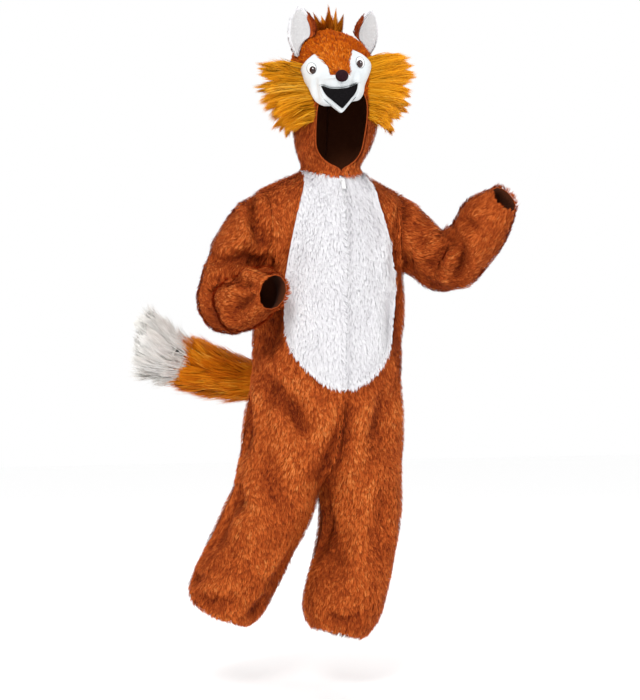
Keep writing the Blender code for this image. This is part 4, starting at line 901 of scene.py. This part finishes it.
# The cheek ruffs: long golden fur that hangs together in pointed locks, on a backing that is sewn to the
# hood on each side of the face.
def hair(name, roots, ups, tips, wide, seed, shades, lift=0.25):
    """A joined mesh of long strands, each a tapered ribbon of three bends from its root to its tip."""
    roots, ups, tips, shades = map(np.array, (roots, ups, tips, shades))
    rng = np.random.default_rng(seed)
    count = len(roots)
    reach = np.linalg.norm(tips - roots, axis=1, keepdims=True)
    way = (tips - roots) / np.maximum(reach, 1e-6)
    knees = roots + way * reach * 0.40 + ups * reach * lift * rng.uniform(0.6, 1.3, (count, 1))
    rows = []
    aside = unit(np.cross(way, ups) + rng.normal(0, 0.25, (count, 3)))
    for t, width in ((0.0, 0.7), (0.36, 1.0), (0.70, 0.75), (1.0, 0.0)):
        spot = roots * (1 - t) ** 2 + knees * 2 * t * (1 - t) + tips * t**2
        half = aside * wide * width / 2 * rng.uniform(0.7, 1.3, (count, 1))
        rows += [spot + half, spot - half] if width else [spot]
    corners = np.stack(rows, axis=1).reshape(-1, 3)
    each = len(rows)
    pattern = [(0, 2, 1), (1, 2, 3), (2, 4, 3), (3, 4, 5), (4, 6, 5)]
    triangles = (np.arange(count)[:, None, None] * each + np.array(pattern)[None]).reshape(-1, 3)
    shades = np.clip(shades, 0.03, 0.97)[:, None]
    across = (shades + np.array((-0.01, 0.01, -0.012, 0.012, -0.01, 0.01, 0.0))).ravel()
    along = np.tile((0.02, 0.02, 0.36, 0.36, 0.70, 0.70, 0.98), count)
    flat = unit(np.cross(aside, way))
    flat = flat * np.where((flat * ups).sum(1, keepdims=True) < 0, -1.0, 1.0)
    softened = unit(ups * 0.5 + flat * 0.5)
    return strand_mesh(name, corners, triangles, across, along, np.repeat(softened, each, axis=0))


GOLDEN_PILE = pile_material(
    "golden fur",
    ((0.0, (0.420, 0.120, 0.001)), (0.35, (0.700, 0.250, 0.003)),
     (0.65, (0.880, 0.370, 0.010)), (1.0, (0.96, 0.60, 0.09))),
    root=0.84,
    tip=1.08,
    roughness=0.55,
)
HOOD_TURN = math.radians(-7)
HOOD_AXIS = (0.008, -0.009)
RUFF_STAND = 0.002
RUFF_WIDE = 0.0013
RUFF_STRANDS = 12000
RUFF_ROWS, RUFF_COLUMNS = 13, 5
RUFFS = table(
    "word side start_top start_low end top bottom tips",
    ("right", -1, -0.94, -0.52, -1.52, 0.212, 0.094,
     ((-15.2, 21.0), (-15.4, 17.4), (-15.3, 13.8), (-13.6, 10.6), (-11.8, 8.4), (-9.6, 7.2))),
    ("left", 1, 0.80, 0.50, 1.44, 0.230, 0.102,
     ((15.8, 24.2), (18.0, 21.8), (17.9, 18.4), (17.0, 15.0), (15.2, 12.4), (13.4, 8.4))),
)
hood_tree = surface_tree(faces["hood_left"][:3], faces["hood_right"][:3])


def hood_spot(turn, height):
    """A place on the hood's cloth by its turn from the face's middle and its height, with its normal.
    There is none where the face opening is."""
    a = turn + HOOD_TURN
    way = np.array((math.sin(a), -math.cos(a), 0.0))
    start = np.array((*HOOD_AXIS, height)) + way * 0.30
    hit = hood_tree.ray_cast(Vector(start), Vector(-way))
    if hit[0] is None or (np.array(hit[0]) - np.array((*HOOD_AXIS, height))) @ way < 0.03:
        return None, None
    return np.array(hit[0]), np.array(hit[1])


def far_spot(over, height, depth):
    """A place from how far it shows across and up in the picture's view, in centimetres, and its depth."""
    return np.array(((over + 0.292 * depth * 100) / 95.6, depth, height / 100))


for ruff in RUFFS:
    rng = np.random.default_rng(60 + ruff["side"])
    tips = np.array(ruff["tips"])
    locks = []
    for row in range(RUFF_ROWS):
        for column in range(RUFF_COLUMNS):
            share = min(max((row + 0.5 + rng.uniform(-0.4, 0.4)) / RUFF_ROWS, 0.0), 1.0)
            back = min(max((column + 0.5 + rng.uniform(-0.4, 0.4)) / RUFF_COLUMNS, 0.0), 1.0)
            at = min(max(share * 6 - 0.5, 0.0), 5.0)
            over = np.interp(at, range(6), tips[:, 0]) + rng.normal(0, 0.45)
            height = np.interp(at, range(6), tips[:, 1]) + rng.normal(0, 0.45)
            far = far_spot(over, height, -0.100 + 0.130 * back + rng.normal(0, 0.006))
            locks.append((share, back, far, rng.uniform(0.70, 1.12) * (0.84 + 0.16 * back)))
    roots, ups, ends, shades = [], [], [], []
    each = RUFF_STRANDS // FEW // len(locks)
    for share, back, far, reach in locks:
        tone = rng.normal(0.5, 0.10)
        for _ in range(each):
            s = min(max(share + rng.normal(0, 0.035), 0.0), 1.0)
            b = min(max(back + rng.normal(0, 0.09), 0.0), 1.0)
            start = ruff["start_top"] + (ruff["start_low"] - ruff["start_top"]) * s
            level = ruff["top"] + (ruff["bottom"] - ruff["top"]) * s
            spot, up = hood_spot(start + (ruff["end"] - start) * b, level)
            if spot is None:
                continue
            up = up if up[0] * ruff["side"] > 0 else -up
            length = reach * rng.uniform(0.66, 1.0)
            loose = rng.normal(0, 1, 3) * (0.0012 + 0.010 * max(1.0 - length, 0.0))
            roots.append(spot + up * RUFF_STAND)
            ups.append(up)
            ends.append(spot + (far - spot) * length + loose)
            shades.append(tone + rng.normal(0, 0.13))
    fur = hair("fur_ruff_" + ruff["word"], roots, ups, ends, RUFF_WIDE * BROAD, 70 + ruff["side"], shades)
    fur.data.materials.append(GOLDEN_PILE)
    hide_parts("ruff_" + ruff["word"])
    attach(fur, "costume")

# The tuft: a small bunch of orange fur sewn on top of the crown. Its locks spread to six points, with shorter
# ones between them.
TUFT_TIPS = ((-3.6, 32.8, -0.02), (-0.5, 35.3, 0.00), (-0.2, 34.0, -0.035),
             (1.3, 34.7, 0.01), (2.9, 33.1, -0.01), (-1.9, 33.0, 0.02))
TUFT_WIDE = 0.0009
TUFT_LOCKS = 18
rng = np.random.default_rng(81)
roots, ups, ends, shades = [], [], [], []
for number in range(TUFT_LOCKS):
    tip = far_spot(*TUFT_TIPS[number % 6]) + rng.normal(0, 0.005, 3) * (number >= 6)
    reach = 1.0 if number < 6 else rng.uniform(0.45, 0.80)
    foot = np.array((0.001 + 0.34 * tip[0] + rng.normal(0, 0.003), 0.002 + rng.normal(0, 0.006)))
    for _ in range(150):
        x, y = foot + rng.normal(0, 0.0034, 2)
        hit = hood_tree.ray_cast(Vector((x, y, 0.35)), Vector((0, 0, -1)))
        if hit[0] is None:
            continue
        spot = np.array(hit[0])
        up = np.array(hit[1]) * np.sign(hit[1][2])
        length = reach * rng.uniform(0.62, 1.0)
        roots.append(spot)
        ups.append(up)
        ends.append(spot + (tip - spot) * length + rng.normal(0, 1, 3) * 0.004 * (1.05 - length))
        shades.append(rng.normal(0.50, 0.16))
fur = hair("fur_tuft", roots, ups, ends, TUFT_WIDE, 82, shades, lift=0.10)
TUFT_PILE = pile_material(
    "tuft fur",
    ((0.0, (0.300, 0.060, 0.002)), (0.45, (0.640, 0.190, 0.005)),
     (0.75, (0.800, 0.290, 0.015)), (1.0, (0.90, 0.46, 0.08))),
    root=0.80,
)
fur.data.materials.append(TUFT_PILE)
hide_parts("tuft")
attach(fur, "costume")

# The tail: a stuffed tube of long orange fur, closed by an off-white end, sewn on behind. The white fur
# starts on the tail's last 20 mm, so the border between the colours is uneven.
TAIL_LINE = ((0.0, 0.10, -0.440), (-0.040, 0.158, -0.443), (-0.092, 0.183, -0.440),
             (-0.150, 0.202, -0.430), (-0.206, 0.215, -0.415), (-0.258, 0.222, -0.396),
             (-0.308, 0.225, -0.376), (-0.345, 0.224, -0.360), (-0.385, 0.220, -0.344))
TAIL_PILE = pile_material(
    "tail fur",
    ((0.0, (0.420, 0.075, 0.001)), (0.40, (0.740, 0.200, 0.004)),
     (0.70, (0.880, 0.340, 0.015)), (1.0, (0.95, 0.56, 0.09))),
    root=0.80,
    roughness=0.6,
)
TIP_PILE = pile_material(
    "tail tip fur",
    ((0.0, (0.760, 0.730, 0.680)), (0.45, (0.900, 0.885, 0.850)),
     (0.80, (0.940, 0.930, 0.910)), (1.0, (0.96, 0.95, 0.94))),
    root=0.95,
    roughness=0.6,
)
# A little darker than the white fur over it: painted shade deep among the strands.
TIP_GROUND_SHADE = ground_material("tail tip ground", (0.74, 0.72, 0.68), (0.88, 0.86, 0.82))
tail_way = brushed_along(TAIL_LINE)
TAIL_FOOT = np.array((0.0, 0.11, -0.44))
TAIL_WIDE = 0.0015
# The tail points to the picture's left: how far its solid reaches there, and where the white fur starts
tip_points = read_mesh(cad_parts["tail_tip"].data)[0]
TAIL_AHEAD = -view_axes(VIEW_TURN)[1]
TAIL_END = (tip_points @ TAIL_AHEAD).max()
TIP_FROM = unit(np.array(TAIL_LINE[-1:]) - np.array(TAIL_LINE[-5:-4]))[0]
TIP_START = (tip_points @ TIP_FROM).min() - 0.020
for node, count, skin_in, ground, fur_finish, slot, seed, reach in (
    ("tail", 11000, 0.010, BROWN_GROUND_SHADE, TAIL_PILE, "tail_fur", 91, 0.054),
    ("tail_tip", 8000, 0.014, TIP_GROUND_SHADE, TIP_PILE, "tail_tip_fur", 92, 0.048),
):
    core = rounded(node, node + "_stuffed")
    points, normals, _ = read_mesh(core.data)
    start = np.linalg.norm(points - TAIL_FOOT, axis=1)
    points = points - normals * (skin_in * np.clip(start / 0.12, 0.25, 1.0))[:, None]
    beyond = np.maximum(points @ TAIL_AHEAD - TAIL_END + 0.060, 0.0)
    points = points - np.outer(beyond * 0.60, TAIL_AHEAD)
    move_points(core, points)
    core.data.materials.append(ground)
    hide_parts(node)
    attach(core, "costume")
    rng = np.random.default_rng(seed)
    roots, ups, _ = scatter(read_mesh(core.data), count // FEW, seed)
    ahead = unit(unit(tail_way(roots)) + np.array((0.0, 0.0, 0.30 if node == "tail_tip" else 0.0)))
    facing = (ups * ahead).sum(1, keepdims=True)
    keep = facing[:, 0] > -0.75
    roots, ups, ahead, facing = roots[keep], ups[keep], ahead[keep], facing[keep]
    flat = unit(ahead - ups * facing + ups * 1e-3)
    long = reach * np.clip(rng.normal(1.0, 0.24, (len(roots), 1)), 0.4, 1.5)
    near = np.linalg.norm(roots - TAIL_FOOT, axis=1, keepdims=True)
    long = long * np.clip(near / 0.10, 0.4, 1.0)
    room = (TAIL_END - roots @ TAIL_AHEAD)[:, None]
    long = np.minimum(long, room * rng.uniform(0.85, 1.10, room.shape))
    white = roots @ TIP_FROM + rng.normal(0, 0.004, len(roots)) > TIP_START
    room = (TIP_START - roots @ TIP_FROM)[:, None] + 0.014
    if node == "tail":
        short = np.minimum(long, np.maximum(room, 0.010) * rng.uniform(0.6, 1.3, room.shape))
        long = np.where(white[:, None], long, short)
    ends = roots + long * (flat * 0.82 + ahead * 0.10 + ups * 0.34)
    leaders = rng.choice(len(roots), max(len(roots) // (90), 1), replace=False)
    leader = np.array([number for _, number, _ in nearest(roots, roots[leaders])])
    ends = ends + (ends[leaders][leader] - ends) * rng.uniform(0.25, 0.85, (len(roots), 1))
    ends = ends + rng.normal(0, 0.0035 if node == "tail" else 0.0055, ends.shape)
    shades = 0.5 + 0.10 * rng.normal(size=len(leaders))[leader] + 0.12 * rng.normal(size=len(roots))
    strands = (roots, ups, ends, shades)
    if node == "tail":
        white_strands = [part[white] for part in strands]
        strands = [part[~white] for part in strands]
    else:
        strands = [np.concatenate(both) for both in zip(strands, white_strands)]
    roots, ups, ends, shades = strands
    fur = hair("fur_" + node, roots, ups, ends, TAIL_WIDE * BROAD, seed + 5, shades, lift=0.16)
    fur.data.materials.append(fur_finish)
    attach(fur, "costume")


# The zip: moulded white teeth on a tape between the two halves of the belly, with a plastic slider and pull
# tab at its top. The slider and the tab keep their solids' shapes.
ZIP_WHITE = plain_plastic("white moulded plastic", (0.70, 0.70, 0.70), (0.80, 0.80, 0.79), 0.35, 500.0)
TAPE, tree, shader = new_material("zip tape", 0.85, specular=0.2)
place = put(tree, "ShaderNodeTexCoord").outputs["Object"]
weave = put(tree, "ShaderNodeTexWave", bands_direction="Z", Vector=place, Scale=900.0, Distortion=0.6)
tones = ramp(tree, weave.outputs["Fac"], ((0.2, (0.60, 0.60, 0.62)), (0.8, (0.78, 0.78, 0.80))))
tree.links.new(tones, shader.inputs["Base Color"])
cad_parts["zip_chain"].data.materials.clear()
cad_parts["zip_chain"].data.materials.append(TAPE)
for node in ("zip_slider", "zip_pull"):
    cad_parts[node].data.materials.clear()
    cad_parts[node].data.materials.append(ZIP_WHITE)
# The tape runs on between the panels' edges, from the top of the chain's solid up behind the slider
TAPE_TOP_MIDDLE = (0.0, -0.0824, -0.0377)
TAPE_TOP_SIZE = (0.0052, 0.0010, 0.0250)
TAPE_TOP_TILT = math.radians(-19.3)
bpy.ops.mesh.primitive_cube_add(size=1.0, location=TAPE_TOP_MIDDLE)
tape = bpy.context.object
tape.name = tape.data.name = "zip_tape_top"
tape.scale = TAPE_TOP_SIZE
tape.rotation_euler = (TAPE_TOP_TILT, 0.0, 0.0)
bpy.ops.object.transform_apply(location=True, rotation=True, scale=True)
tape.data.materials.append(TAPE)
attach(tape, "costume")
chain_tree = surface_tree(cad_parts["zip_chain"], tape)
low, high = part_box("zip_chain")
high.z = slider_low.z
TOOTH = (0.0030, 0.0012, 0.0009)
TOOTH_PITCH = 0.0020
TOOTH_ASIDE = 0.0007
TOOTH_SUNK = 0.0002
bpy.ops.mesh.primitive_cube_add(size=1.0)
tooth = bpy.context.object
tooth.scale = TOOTH
bpy.ops.object.transform_apply(location=False, rotation=False, scale=True)
finish_with(tooth, "BEVEL", width=0.0002, segments=1)
corner_set, _, tooth_triangles = read_mesh(tooth.data)
bpy.data.objects.remove(tooth)
rows, triangles = [], []
for number in range(int((high.z - low.z - 0.005) / TOOTH_PITCH)):
    height = low.z + 0.004 + number * TOOTH_PITCH
    hit = chain_tree.ray_cast(Vector((0.0, -0.30, height)), Vector((0, 1, 0)))
    if hit[0] is None or abs(hit[0].z - height) > 1e-6:
        continue
    aside = TOOTH_ASIDE if number % 2 else -TOOTH_ASIDE
    triangles.append(tooth_triangles + len(rows) * len(corner_set))
    rows.append(corner_set + np.array((aside, hit[0].y - TOOTH_SUNK, height)))
mesh = bpy.data.meshes.new("zip_teeth")
mesh.from_pydata(np.concatenate(rows).tolist(), [], np.concatenate(triangles).tolist())
teeth = as_object("zip_teeth", mesh)
teeth.data.materials.append(ZIP_WHITE)
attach(teeth, "costume")

# Floor and light: a plain pale studio. The costume keeps the height at which it is worn.
FLOOR_HEIGHT = -1.070
bpy.ops.mesh.primitive_plane_add(size=14.0, location=(0.0, 0.0, FLOOR_HEIGHT))
floor = bpy.context.object
floor.name = "floor"
paper, tree, shader = new_material("pale paper", 0.9, specular=0.1)
shader.inputs["Base Color"].default_value = (0.975, 0.975, 0.975, 1.0)
floor.data.materials.append(paper)
world = bpy.data.worlds.new("studio")
world.use_nodes = True
world.node_tree.nodes["Background"].inputs["Color"].default_value = (1.0, 1.0, 1.0, 1.0)
world.node_tree.nodes["Background"].inputs["Strength"].default_value = 1.0
bpy.context.scene.world = world
LAMPS = table(
    "name place size power",
    ("key", (-1.5, -2.6, 1.6), 1.2, 50.0),
    ("fill", (2.4, -2.0, 0.4), 2.0, 14.0),
    ("back", (0.6, 2.6, 1.6), 1.6, 20.0),
)
for lamp in LAMPS:
    light = bpy.data.lights.new(lamp["name"], "AREA")
    light.shape = "DISK"
    light.size = lamp["size"]
    light.energy = lamp["power"]
    holder = bpy.data.objects.new(lamp["name"], light)
    holder.location = lamp["place"]
    aim = Vector((0.0, 0.0, -0.3)) - Vector(lamp["place"])
    holder.rotation_euler = aim.to_track_quat("-Z", "Y").to_euler()
    bpy.context.scene.collection.objects.link(holder)
bpy.context.scene.view_settings.view_transform = "Standard"

forward, right = view_axes(VIEW_TURN)
camera = bpy.data.objects.new("camera", bpy.data.cameras.new("camera"))
camera.location = VIEW_MIDDLE - forward * VIEW_DISTANCE + right * VIEW_ASIDE
camera.rotation_euler = Vector(forward).to_track_quat("-Z", "Y").to_euler()
camera.data.sensor_fit = "VERTICAL"
camera.data.angle = 2 * math.atan(VIEW_HEIGHT / 2 / VIEW_DISTANCE)
bpy.context.scene.collection.objects.link(camera)
bpy.context.scene.camera = camera
